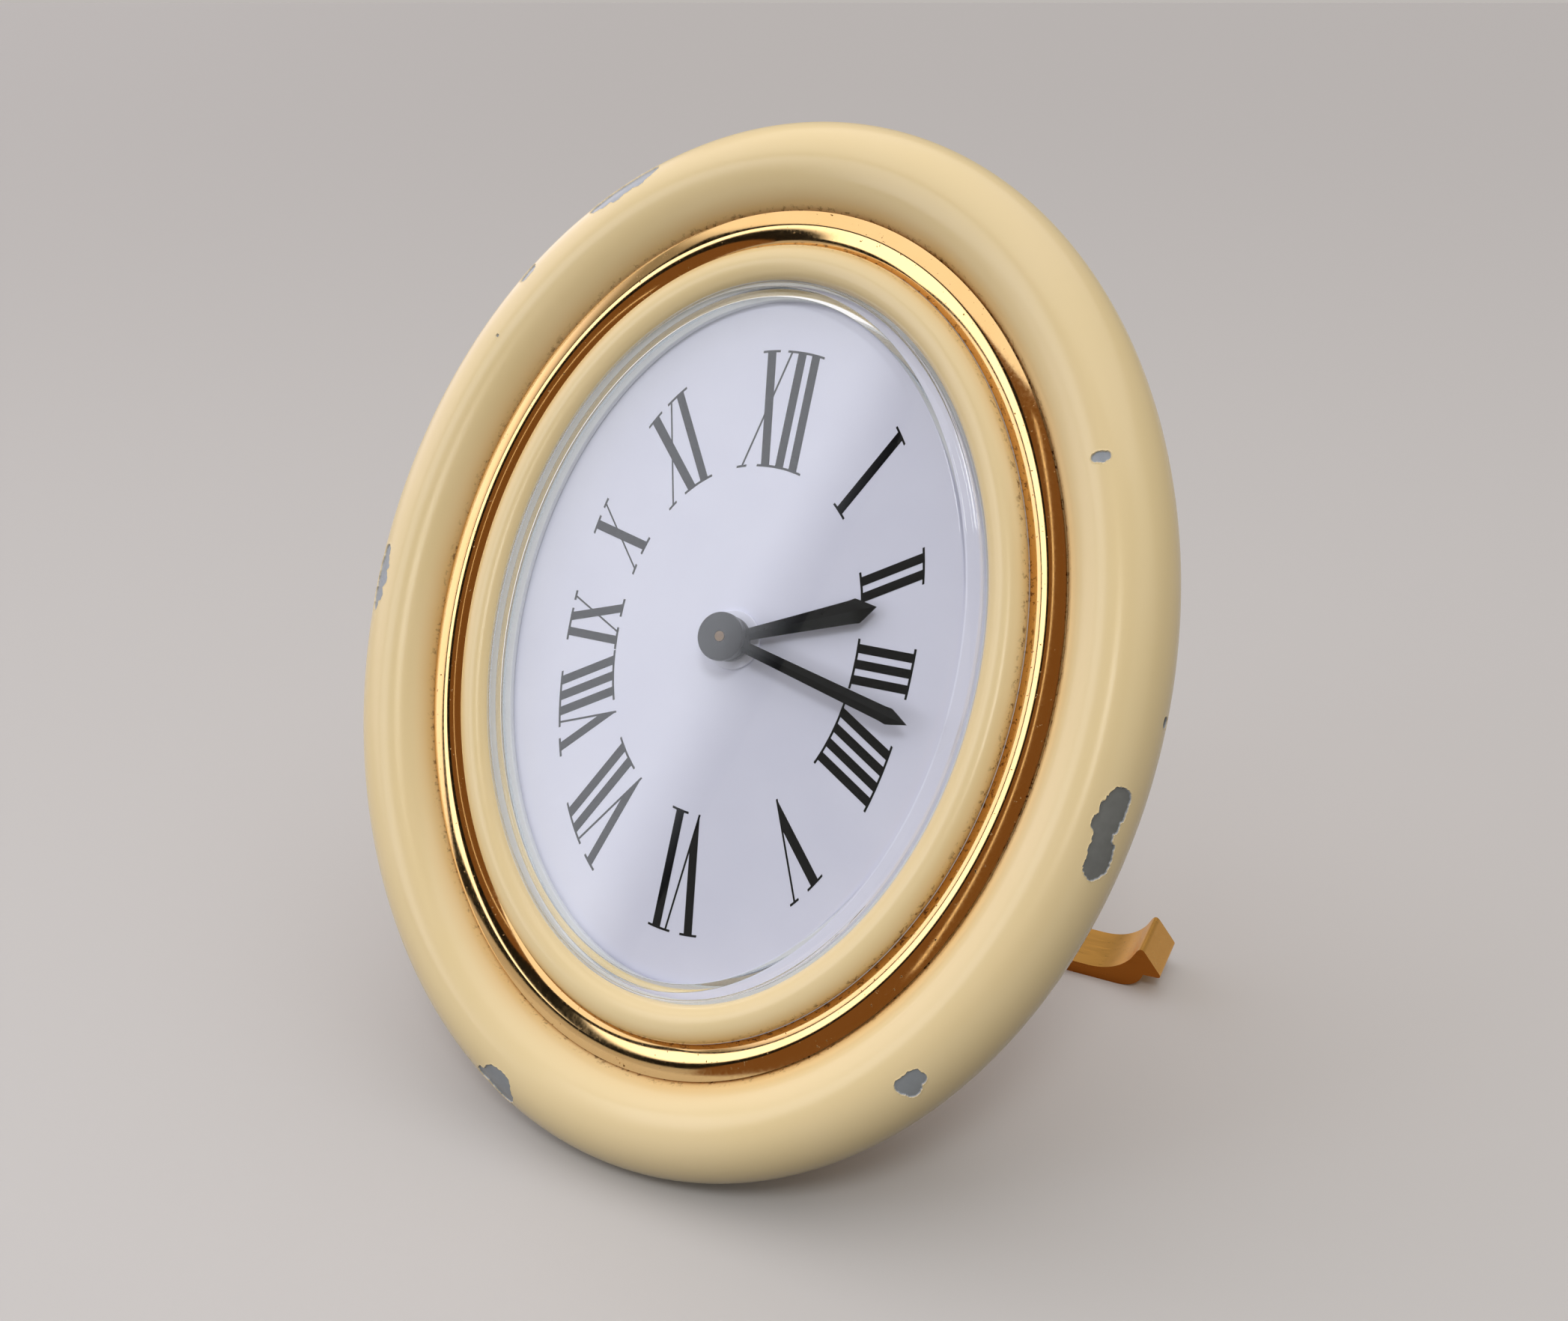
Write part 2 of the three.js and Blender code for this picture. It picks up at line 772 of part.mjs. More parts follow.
// Motor: stator around the rotor, coil on its core beside it
const statorBack = statorFront - statorThick;
const coreFront = statorBack - seatGap;
const coreBack = coreFront - statorThick;
const statorLeft = rotorAxis.x - statorReach;
const statorRight = rotorAxis.x + statorReach;
const coreBottom = coilY - coreWidth / 2;
const arborClear = statorBand - 1.3; // keeps the stator below the intermediate wheel's arbor
const motorHoles = motorScrews.map(
  (p) => rod(smallShank + runGap, coreBack - 1, statorFront + 1, p.x, p.y, 10),
);
piece(
  "stator",
  cut(
    joined(
      block(
        statorLeft,
        statorRight,
        rotorAxis.y - statorBand,
        rotorAxis.y + arborClear,
        statorBack,
        statorFront,
      ),
      rod(statorBand, statorBack, statorFront, rotorAxis.x, rotorAxis.y, 20),
      block(statorLeft, statorLeft + coreWidth, coreBottom, rotorAxis.y, statorBack, statorFront),
      block(statorRight - coreWidth, statorRight, coreBottom, rotorAxis.y, statorBack, statorFront),
    ),
    rod(magnetRadius + fitGap, statorBack - 1, statorFront + 1, rotorAxis.x, rotorAxis.y, 20),
    ...motorHoles,
  ),
  steel,
);
const core = block(statorLeft, statorRight, coreBottom, coilY + coreWidth / 2, coreBack, coreFront);
piece("coil_core", cut(core, ...motorHoles), steel);
const coreMiddle = (coreFront + coreBack) / 2;
const winding = new THREE.CylinderGeometry(coilRadius, coilRadius, coilLength, 18).rotateZ(half);
const coilBore = block(
  statorLeft,
  statorRight,
  coreBottom - seatGap,
  coilY + coreWidth / 2 + seatGap,
  coreBack - seatGap,
  coreFront + seatGap,
);
piece("coil_winding", cut(winding.translate(rotorAxis.x, coilY, coreMiddle), coilBore), copper);
motorScrews.forEach((p, i) =>
  screw(
    `motor_screw_${i + 1}`,
    p.x,
    p.y,
    coreBack,
    plateFront - coreBack - fitGap,
    smallShank,
    smallHead,
    false,
    steel,
  ),
);

// Circuit board on the main plate, with the quartz can and the chip's cap
const boardFront = plateBack - boardGap;
const boardBack = boardFront - boardThick;
const boardLeft = centreWheelRadius + boardClear;
const boardTop = setAxis.y - setShaft - boardClear;
const boardBottom = boardTop - boardHeight;
const boardRight = ovalHalfWidth(ledgeInset, boardBottom) - boardMargin;
const boardMiddle = (boardLeft + boardRight) / 2;
piece(
  "circuit_board",
  block(boardLeft, boardRight, boardBottom, boardTop, boardBack, boardFront),
  greenBoard,
);
const can = new THREE.CylinderGeometry(crystalCan, crystalCan, canLength, 14);
const canMiddle = boardBottom + boardClear + canLength / 2;
piece("quartz_can", can.translate(boardMiddle, canMiddle, boardBack - seatGap - crystalCan), nickel);
const chipMiddle = canMiddle + canLength / 2 + boardClear + chipRadius;
const chipFace = boardBack - seatGap;
piece(
  "chip_cap",
  rod(chipRadius, chipFace - chipHeight, chipFace, boardMiddle, chipMiddle, 14),
  blackPlastic,
);

// Battery: holder ring, cell and its two contacts
const cellFront = boardBack - seatGap - contactThick - seatGap;
const cellBack = cellFront - cellHeight;
const contactFront = boardBack - seatGap;
const contactBack = contactFront - contactThick;
const holderInner = cellRadius + fitGap;
const holderOuter = holderInner + holderWall;
// cell's centre over the dial's centre
const cellUp = middleHeight - ledgeInset - holderOuter - 2 * fitGap;
const holderFront = plateBack - seatGap;
const holderRing = tube(holderOuter, holderInner, holderFront - holderHeight, holderFront, 0, cellUp, 28);
const sideWindow = block(
  0,
  holderOuter + 1,
  cellUp - contactWidth,
  cellUp + contactWidth,
  holderFront - holderHeight - 1,
  holderFront - 1,
);
const underWindow = block(
  0,
  holderOuter + 1,
  cellUp - holderOuter - 1,
  cellUp,
  contactBack - seatGap,
  contactFront + seatGap,
);
piece("battery_holder", cut(holderRing, sideWindow, underWindow), blackPlastic);
piece("battery_cell", rod(cellRadius, cellBack, cellFront, 0, cellUp, 28), nickel);
const boardEdge = boardTop - contactWidth;
const minusLeft = setAxis.x + setShaft + runGap + fitGap;
const minusRight = minusLeft + contactWidth;
const plusLeft = minusRight + contactSpace;
const plusRight = plusLeft + contactWidth;
const minusTop = cellUp - cellRadius / 2 + contactWidth / 2;
piece(
  "contact_minus",
  joined(
    block(-cellRadius / 2, minusRight, minusTop - contactWidth, minusTop, contactBack, contactFront),
    block(minusLeft, minusRight, boardEdge, minusTop, contactBack, contactFront),
  ),
  brass,
);
piece(
  "contact_plus",
  joined(
    block(
      cellRadius + pinGap,
      cellRadius + pinGap + contactThick,
      cellUp - contactWidth / 2,
      cellUp + contactWidth / 2,
      cellBack,
      contactFront,
    ),
    block(
      cellRadius + pinGap,
      plusRight,
      cellUp - contactWidth / 2,
      cellUp + contactWidth / 2,
      contactBack,
      contactFront,
    ),
    block(plusLeft, plusRight, boardEdge, cellUp + contactWidth / 2, contactBack, contactFront),
  ),
  brass,
);

// Rear cover: a pan with a flange, a bayonet opening for the battery hatch and a hole for the setting shaft
const hatchHole = hatchRadius + fitGap;
const hatchReach = hatchHole + hatchLug;
const bracketScrewX = barrelLength / 2 - screwHead / 2;
const hingeDrop = middleHeight - coverOuter - hingeEdge - bracketFoot; // dial's centre to the hinge
const bracketScrewY = -hingeDrop + bracketTop - screwHead - seatGap;
const bracketScrews = [-1, 1].map((side) => ({ x: side * bracketScrewX, y: bracketScrewY }));

const hatchNotch = (width, reach, low, high, degrees) =>
  block(-reach, reach, -width / 2, width / 2, low, high)
    .rotateZ(THREE.MathUtils.degToRad(degrees))
    .translate(0, cellUp, 0);

function rearCover() {
  const flangeTop = shelfBottom - seatGap;
  const pan = ovalRing([
    [coverEdge, flangeTop],
    [coverInner, flangeTop],
    [coverInner, coverInside],
    [coverInner + 2, coverInside],
    [coverInner + 2, coverBack],
    [coverOuter, coverBack],
    [coverOuter, flangeTop - coverFlange],
    [coverEdge, flangeTop - coverFlange],
  ]);
  const floor = plate(ovalShape(coverInner + 1), coverBack, coverInside);
  const through = (radius, p, sides = 12) => rod(radius, coverBack - 1, coverInside + 1, p.x, p.y, sides);
  return cut(
    joined(pan, floor),
    through(hatchHole, { x: 0, y: cellUp }, 32),
    hatchNotch(hatchLugWidth + 2 * fitGap, hatchReach + fitGap, coverBack - 1, coverInside + 1, 45),
    through(setShaft + fitGap, setAxis),
    ...bracketScrews.map((p) => through(screwShank + runGap, p)),
    ...coverScrews.map(
      (p) => rod(screwShank + runGap, flangeTop - coverFlange - 1, flangeTop + 1, p.x, p.y, 10),
    ),
  );
}

piece("rear_cover", rearCover(), brushedGilt);
const flangeFace = shelfBottom - seatGap - coverFlange;
coverScrews.forEach((p, i) =>
  screw(
    `rear_screw_${i + 1}`,
    p.x,
    p.y,
    flangeFace,
    coverFlange + screwBite,
    screwShank,
    screwHead,
    false,
    brushedGilt,
  ),
);

// Battery hatch: a disc with a coin slot, and two lugs that turn in under the cover's floor
const hatchOuter = coverBack + seatGap;
const hatchInner = hatchOuter + hatchThick;
const lugTop = coverInside + seatGap + hatchLugThick;
const hatch = joined(
  rod(hatchRadius, hatchOuter, hatchInner, 0, cellUp, 32),
  rod(hatchRadius - hatchLug, hatchInner - hatchThick / 2, lugTop, 0, cellUp, 28),
  hatchNotch(hatchLugWidth, hatchReach, coverInside + seatGap, lugTop, 0),
);
const slotBox = block(
  -hatchRadius * 0.7,
  hatchRadius * 0.7,
  cellUp - coinSlot / 2,
  cellUp + coinSlot / 2,
  hatchOuter - 1,
  hatchOuter + hatchThick / 2,
);
piece("battery_hatch", cut(hatch, slotBox), brushedGilt);

// Setting shaft with its pinion in the minute wheel, and the fluted knob on the back
const knobFront = coverBack - seatGap;
const knobBack = knobFront - knobLength;
const shaftEnd = knobBack + knobLength / 3;
piece(
  "set_shaft",
  joined(
    rod(setShaft, shaftEnd, plateFront + seatGap, setAxis.x, setAxis.y, 14),
    gear(setTeeth, motionModule, facing, cannonLow, cannonHigh, setAxis.x, setAxis.y),
    rod(postRadius, plateFront, cannonHigh, setAxis.x, setAxis.y, 12),
  ),
  steel,
);

function setKnob() {
  const points = [];
  for (let i = 0; i < knobFlutes * 4; i += 1) {
    const radius = i % 4 < 2 ? knobRadius : knobRadius - knobFlute;
    const a = (2 * Math.PI * i) / (knobFlutes * 4);
    points.push(new THREE.Vector2(radius * Math.cos(a), radius * Math.sin(a)));
  }
  const grip = plate(new THREE.Shape(points), knobBack, knobFront).translate(setAxis.x, setAxis.y, 0);
  return cut(grip, rod(setShaft + pinGap, shaftEnd - pinGap, knobFront + 1, setAxis.x, setAxis.y, 14));
}

piece("set_knob", setKnob(), brushedGilt);

// Hands: sword blades with a ridge, on a hub
function hand(length, width, degrees, base, bore) {
  const start = handHub * 0.6;
  const shoulder = length - handShoulder;
  const side = handThick / 2;
  const outline = [
    [start, handRoot / 2],
    [shoulder, width / 2],
    [length, 0],
    [shoulder, -width / 2],
    [start, -handRoot / 2],
  ];
  const points = [];
  for (const [along, across] of outline) {
    points.push(new THREE.Vector3(along, across, base));
    points.push(new THREE.Vector3(along, across, base + side));
  }
  points.push(new THREE.Vector3(start, 0, base + handThick));
  points.push(new THREE.Vector3(shoulder, 0, base + handThick));
  const turn = Math.PI / 2 - THREE.MathUtils.degToRad(degrees);
  const blade = new ConvexGeometry(points).rotateZ(turn);
  const hub = rod(handHub, base - handBoss, base + handThick, 0, 0, 20);
  return cut(joined(hub, blade), rod(bore, base - 1, base + handThick + 1, 0, 0, 18));
}

piece("hour_hand", hand(hourLength, hourWidth, hourAngle, hourHandBase, pipeRadius + pinGap), blackHand);
piece(
  "minute_hand",
  hand(minuteLength, minuteWidth, minuteAngle, minuteHandBase, handPinRadius + pinGap),
  blackHand,
);
piece("hand_cap", tube(capRadius, handPinRadius + pinGap, capBase, capTop, 0, 0, 24), greyCap);

// Hinge bracket on the rear cover, with two knuckles for the stand's pin
const bracketFront = coverBack - seatGap;
const bracketBack = bracketFront - bracketThick;
const hingeBack = bracketBack - seatGap - barrelRadius;
const knuckleInner = barrelLength / 2 + fitGap;
const knuckleOuter = knuckleInner + knuckleWidth;
const crossRod = (radius, left, right, sides) =>
  new THREE.CylinderGeometry(radius, radius, right - left, sides)
    .rotateZ(half)
    .translate((left + right) / 2, 0, 0);

function hingeBracket() {
  const base = block(
    -knuckleOuter,
    knuckleOuter,
    -hingeDrop - bracketFoot,
    -hingeDrop + bracketTop,
    bracketBack,
    bracketFront,
  );
  const ears = [-1, 1].flatMap((side) => {
    const left = Math.min(side * knuckleInner, side * knuckleOuter);
    const right = Math.max(side * knuckleInner, side * knuckleOuter);
    const ear = crossRod(barrelRadius, left, right, 18).translate(0, -hingeDrop, hingeBack);
    const web = block(
      left,
      right,
      -hingeDrop - barrelRadius,
      -hingeDrop + barrelRadius,
      hingeBack,
      bracketFront - bracketThick / 2,
    );
    return [ear, web];
  });
  const pinHole = crossRod(
    pinRadius + pinGap,
    -knuckleOuter - 1,
    knuckleOuter + 1,
    16,
  ).translate(0, -hingeDrop, hingeBack);
  const holes = bracketScrews.map(
    (p) => rod(screwShank + runGap, bracketBack - 1, bracketFront + 1, p.x, p.y, 12),
  );
  return cut(joined(base, ...ears), pinHole, ...holes);
}

piece("hinge_bracket", hingeBracket(), brushedGilt);
bracketScrews.forEach((p, i) =>
  screw(
    `bracket_screw_${i + 1}`,
    p.x,
    p.y,
    bracketBack,
    bracketThick + coverFloor + fitGap,
    screwShank,
    screwHead,
    false,
    brushedGilt,
  ),
);
piece(
  "hinge_pin",
  crossRod(pinRadius, -knuckleOuter, knuckleOuter, 16).translate(0, -hingeDrop, hingeBack),
  steel,
);

// Stand: one casting with a barrel, a waisted stem and a bar along the floor whose ends turn up
const toLevel = (y, z) => new THREE.Vector2(
  y * Math.sin(lean) - z * Math.cos(lean),
  y * Math.cos(lean) + z * Math.sin(lean),
);
const hinge = toLevel(-hingeDrop, hingeBack);
const tubeBottom = toLevel(-middleHeight, tubeMid);
clock.updateMatrixWorld(true);
const frameBox = new THREE.Box3().setFromObject(clock.getObjectByName("case_frame"), true);
const floorLevel = frameBox.min.z - hinge.y;
const footFront = tubeBottom.x + footReach - hinge.x;
const footBack = footFront + footDepth;

// the bar's right half from the middle, along the floor, round the turned-up end and back along the top
function footShape() {
  const end = footWidth / 2;
  const under = new THREE.QuadraticBezierCurve(
    new THREE.Vector2(end - flareLength, 0),
    new THREE.Vector2(end - flareLength / 2, 0),
    new THREE.Vector2(end - flareLength * 0.4, tipHeight * 0.95),
  );
  const over = new THREE.QuadraticBezierCurve(
    new THREE.Vector2(end - crestInset, flareHeight),
    new THREE.Vector2(end - flareLength * 0.8, footThick),
    new THREE.Vector2(end - flareLength * 1.6, footThick),
  );
  const right = [...under.getPoints(5), new THREE.Vector2(end, tipHeight), ...over.getPoints(7)];
  const left = right.map((p) => new THREE.Vector2(-p.x, p.y)).reverse();
  return new THREE.Shape([...right, ...left]);
}

function standLeg() {
  const bar = new THREE.ExtrudeGeometry(footShape(), { depth: footDepth, bevelEnabled: false });
  bar.rotateX(half).translate(0, footBack, floorLevel);
  // the stem's strip, seen from the side
  const low = floorLevel + stemThick / 2;
  const path = new THREE.QuadraticBezierCurve(
    new THREE.Vector2(0, 0),
    new THREE.Vector2(footFront * 0.62, low),
    new THREE.Vector2(footFront + footDepth / 2, low),
  );
  const upper = [];
  const lower = [];
  for (let i = 0; i <= 10; i += 1) {
    const p = path.getPoint(i / 10);
    const t = path.getTangent(i / 10);
    const side = new THREE.Vector2(-t.y, t.x).multiplyScalar(stemThick / 2);
    upper.push(p.clone().add(side));
    lower.push(p.clone().sub(side));
  }
  const strip = new THREE.ExtrudeGeometry(new THREE.Shape([...lower, ...upper.reverse()]), {
    depth: stemFlare,
    bevelEnabled: false,
  });
  strip.rotateZ(half).rotateY(half).translate(-stemFlare / 2, 0, 0);
  // the stem's waisted outline, seen from above
  const wide = barrelLength / 2;
  const outline = new THREE.Shape();
  outline.moveTo(-wide, -barrelRadius);
  outline.lineTo(wide, -barrelRadius);
  outline.lineTo(wide, 0);
  outline.bezierCurveTo(
    stemWaist / 2,
    footFront / 3,
    stemWaist / 2,
    footFront / 1.8,
    stemFlare / 2,
    footFront + footDepth / 4,
  );
  outline.lineTo(stemFlare / 2, footBack);
  outline.lineTo(-stemFlare / 2, footBack);
  outline.lineTo(-stemFlare / 2, footFront + footDepth / 4);
  outline.bezierCurveTo(-stemWaist / 2, footFront / 1.8, -stemWaist / 2, footFront / 3, -wide, 0);
  outline.lineTo(-wide, -barrelRadius);
  const stem = common(strip, plate(outline, floorLevel - 1, stemThick + 1));
  // the heel meets the bracket when the stand is open
  const heelTop = bracketBack - seatGap - hingeBack;
  const heel = block(-wide, wide, -heelLength, 0, heelTop - stemThick, heelTop).rotateX(tilt);
  const barrel = crossRod(barrelRadius, -wide, wide, 20);
  const bore = crossRod(pinRadius + pinGap, -wide - 1, wide + 1, 16);
  return cut(joined(bar, stem, barrel, heel), bore);
}

stand.position.set(0, hinge.x, hinge.y);
piece("stand_leg", standLeg(), polishedGilt, stand);

// The origin is under the middle of the whole clock, on the floor
desktopClock.updateMatrixWorld(true);
const whole = new THREE.Box3().setFromObject(desktopClock, true);
const offset = new THREE.Vector3(
  (whole.min.x + whole.max.x) / 2,
  (whole.min.y + whole.max.y) / 2,
  whole.min.z,
);
clock.position.sub(offset);
stand.position.sub(offset);

export default desktopClock;
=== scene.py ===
# Oval desk clock with a lacquered frame, a gilt trim ring and a fold-up stand.
# Metres, +Z up, -Y the way the dial faces. Pieces of the clock are drawn in the dial's own millimetres
# (x right, y up the dial, z out of the dial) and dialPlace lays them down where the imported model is.
import json
import math
from functools import partial

import bmesh
import bpy
from mathutils import Matrix, Vector, noise


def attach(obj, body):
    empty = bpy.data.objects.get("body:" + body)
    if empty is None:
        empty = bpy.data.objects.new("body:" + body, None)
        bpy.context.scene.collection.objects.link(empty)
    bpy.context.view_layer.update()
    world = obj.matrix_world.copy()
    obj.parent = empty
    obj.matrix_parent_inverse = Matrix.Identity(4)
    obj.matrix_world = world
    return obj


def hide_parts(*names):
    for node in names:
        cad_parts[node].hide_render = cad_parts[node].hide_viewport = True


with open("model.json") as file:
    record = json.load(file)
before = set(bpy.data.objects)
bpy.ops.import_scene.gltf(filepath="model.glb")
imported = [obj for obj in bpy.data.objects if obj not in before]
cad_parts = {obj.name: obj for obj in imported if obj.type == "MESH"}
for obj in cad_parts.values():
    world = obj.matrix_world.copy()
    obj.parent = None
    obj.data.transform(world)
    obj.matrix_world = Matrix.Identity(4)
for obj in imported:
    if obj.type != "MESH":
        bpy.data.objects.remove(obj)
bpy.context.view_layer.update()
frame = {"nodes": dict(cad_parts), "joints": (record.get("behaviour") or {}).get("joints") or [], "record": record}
joints = {joint["name"]: joint for joint in frame["joints"]}
scene = bpy.context.scene
scene.view_settings.view_transform = "Standard"
mm = 0.001  # a millimetre in metres

# the dial's centre and lean come from the joint that the minute hand turns on
dialOut = Vector(joints["minute_turn"]["axis"]).normalized()
dialRight = Vector((1, 0, 0))
dialUp = dialOut.cross(dialRight)
dialTurn = Matrix((dialRight, dialUp, dialOut)).transposed().to_4x4()
dialPlace = Matrix.Translation(joints["minute_turn"]["pos_m"]) @ dialTurn @ Matrix.Scale(mm, 4)
hingePlace = Matrix.Translation(joints["stand_fold"]["pos_m"]) @ Matrix.Scale(mm, 4)
print("frame loaded:", len(frame["nodes"]), "nodes")

# Camera, set at the photograph's place; its frame is 2094 x 1764
view = {
    "place": (0.05558, -0.1064375, 0.0901044), "right": (0.8978, 0.4403, 0),
    "back": (0.4031, -0.8219, 0.4025), "lens": 34.38, "sensor": 36, "near": 0.005,
}
viewRight = Vector(view["right"]).normalized()
viewBack = Vector(view["back"]).normalized()
viewUp = viewBack.cross(viewRight)
cameraData = bpy.data.cameras.new("camera")
cameraData.lens = view["lens"]
cameraData.sensor_width = view["sensor"]
cameraData.sensor_fit = "HORIZONTAL"
cameraData.clip_start = view["near"]
camera = bpy.data.objects.new("camera", cameraData)
viewTurn = Matrix((viewRight, viewUp, viewBack)).transposed().to_4x4()
camera.matrix_world = Matrix.Translation(view["place"]) @ viewTurn
scene.collection.objects.link(camera)
scene.camera = camera


# Finishes
def linear(hexColour):
    # sRGB hex to the linear colour that a shader takes
    parts = [int(hexColour[i : i + 2], 16) / 255 for i in (1, 3, 5)]
    return [c / 12.92 if c <= 0.04045 else ((c + 0.055) / 1.055) ** 2.4 for c in parts] + [1.0]


def perMetre(size):
    # texture scale for a pattern whose grain is so many millimetres
    return 1000 / size


def addNode(tree, kind, inputs=(), out=0, **settings):
    # inputs in their order, or by number or name: a socket is linked, a hex colour made linear, a number set
    node = tree.nodes.new("ShaderNode" + kind)
    for key, value in settings.items():
        setattr(node, key, value)
    for key, value in inputs.items() if isinstance(inputs, dict) else enumerate(inputs):
        if isinstance(value, bpy.types.NodeSocket):
            tree.links.new(value, node.inputs[key])
        else:
            node.inputs[key].default_value = linear(value) if isinstance(value, str) else value
    return node.outputs[out] if node.outputs else node


byColour = {"out": 2, "data_type": "RGBA"}  # a mix of two colours: 0 is the share, 6 and 7 are the colours


def startFinish(name):
    # an empty finish, and addNode for its own nodes
    finish = bpy.data.materials.new(name)
    finish.use_nodes = True
    finish.node_tree.nodes.clear()
    return finish, partial(addNode, finish.node_tree)


def ivoryLacquer():
    # sprayed lacquer on cast metal: a satin shine with faint orange peel, amber where it meets the gilt (partly
    # staining, partly painted warm light from the gilt), brown dirt in the groove, pale primer or dark zinc in its
    # chips and bare metal on the hidden shelf, which has a painted glow
    finish, add = startFinish("ivory_lacquer")
    place = add("TexCoord", out="Object")
    names = ("groove", "chip", "bare")
    groove, chip, bare = [add("Attribute", out="Fac", attribute_name=name) for name in names]
    clouds = add("TexNoise", {"Vector": place, "Scale": perMetre(9), "Detail": 3})
    mottle = add("MapRange", [clouds, 0.35, 0.65])
    body = add("Mix", {0: mottle, 6: "#eed9a6", 7: "#efdaa9"}, **byColour)
    # amber beside the gilt, in uneven stretches: partly staining, partly painted warm light that the gilt throws
    # on the lacquer
    stretches = add("TexNoise", {"Vector": place, "Scale": perMetre(14)})
    uneven = add("MapRange", [stretches, 0.3, 0.65, 0.2, 0.9])
    stainAndGlow = add("Math", [groove, uneven], operation="MULTIPLY")
    stainedAndGlowing = add("Mix", {0: stainAndGlow, 6: body, 7: "#e6b868"}, **byColour)
    # specks of dirt, thickest down in the groove
    grit = add("TexNoise", {"Vector": place, "Scale": perMetre(0.5), "Detail": 4, "Roughness": 0.7})
    specks = add("MapRange", [grit, 0.54, 0.63])
    deep = add("MapRange", [groove, 0.55, 0.95])
    dirt = add("Math", [specks, deep], operation="MULTIPLY")
    soiled = add("Mix", {0: dirt, 6: stainedAndGlowing, 7: "#5e3512"}, **byColour)
    shelf = add("Mix", {0: bare, 6: soiled, 7: "#ccd0d4"}, **byColour)
    # primer in a chip that is half through, the casting in one that is right through
    blotches = add("TexNoise", {"Vector": place, "Scale": perMetre(0.7), "Detail": 4})
    undercoat = add("Mix", {0: blotches, 6: "#959da5", 7: "#a4abb3"}, **byColour)
    zinc = add("Mix", {0: blotches, 6: "#666967", 7: "#787b79"}, **byColour)
    half = add("MapRange", [chip, 0, 0.5])
    thin = add("Mix", {0: half, 6: shelf, 7: undercoat}, **byColour)
    through = add("MapRange", [chip, 0.6, 1])
    colour = add("Mix", {0: through, 6: thin, 7: zinc}, **byColour)
    handling = add("TexNoise", {"Vector": place, "Scale": perMetre(4), "Detail": 4})
    worn = add("MapRange", [handling, 0.3, 0.7, 0.19, 0.22])
    dull = add("Math", [chip, 0.12, worn], operation="MULTIPLY_ADD")
    peel = add("TexNoise", {"Vector": place, "Scale": perMetre(0.6), "Detail": 3})
    relief = add("Bump", {"Height": peel, "Distance": 0.0012 * mm})
    coat = {"Base Color": colour, "Roughness": dull, "IOR": 1.5, "Normal": relief}
    # painted glow: the bare shelf glows a little, standing in for the light that the glass leads under the bezel
    coat["Emission Color"] = "#dfe6ee"
    coat["Emission Strength"] = add("MapRange", [bare, 0, 1, 0, 0.3])
    add("OutputMaterial", [add("BsdfPrincipled", coat)])
    return finish


def polishedGilt():
    # electroplated gold over a buffed ring: mirror bright, with fine pits and a few hairlines
    finish, add = startFinish("polished_gilt")
    place = add("TexCoord", out="Object")
    spots = add("TexNoise", {"Vector": place, "Scale": perMetre(0.35), "Roughness": 0.6})
    pits = add("MapRange", [spots, 0.70, 0.75])
    clouds = add("TexNoise", {"Vector": place, "Scale": perMetre(5)})
    plate = add("Mix", {0: clouds, 6: "#f6d094", 7: "#f1c684"}, **byColour)
    colour = add("Mix", {0: pits, 6: plate, 7: "#5a3a17"}, **byColour)
    along = add("Mapping", {"Vector": place, "Scale": (1, 0.08, 1)})
    hairlines = add("TexNoise", {"Vector": along, "Scale": perMetre(0.25)})
    shine = add("MapRange", [hairlines, 0.3, 0.7, 0.05, 0.1])
    relief = add("Bump", {"Height": pits, "Strength": 0.6, "Distance": -0.02 * mm})
    gold = {"Base Color": colour, "Metallic": 1, "Roughness": shine, "Normal": relief}
    add("OutputMaterial", [add("BsdfPrincipled", gold)])
    return finish


def mineralGlass():
    # polished mineral glass: clear, with the faintest wiping marks in its gloss
    finish, add = startFinish("mineral_glass")
    place = add("TexCoord", out="Object")
    along = add("Mapping", {"Vector": place, "Scale": (1, 0.3, 1)})
    wipes = add("TexNoise", {"Vector": along, "Scale": perMetre(20)})
    gloss = add("MapRange", [wipes, 0.5, 0.8, 0.0, 0.006])
    pane = {"Base Color": "#f6fafb", "Roughness": gloss, "IOR": 1.52, "Transmission Weight": 1}
    add("OutputMaterial", [add("BsdfPrincipled", pane)])
    return finish


def woundCopper():
    # enamelled copper wire wound side by side: a turn every 0.12 mm, dark between the turns
    finish, add = startFinish("enamelled_copper")
    place = add("TexCoord", out="Object")
    winding = {"Vector": place, "Scale": perMetre(0.12) / 20, "Distortion": 0.4}
    turns = add("TexWave", winding, out="Fac", bands_direction="X")
    colour = add("Mix", {0: turns, 6: "#5d2c13", 7: "#b9662f"}, **byColour)
    relief = add("Bump", {"Height": turns, "Distance": 0.03 * mm})
    wire = {"Base Color": colour, "Metallic": 0.8, "Roughness": 0.3, "Normal": relief}
    add("OutputMaterial", [add("BsdfPrincipled", wire)])
    return finish


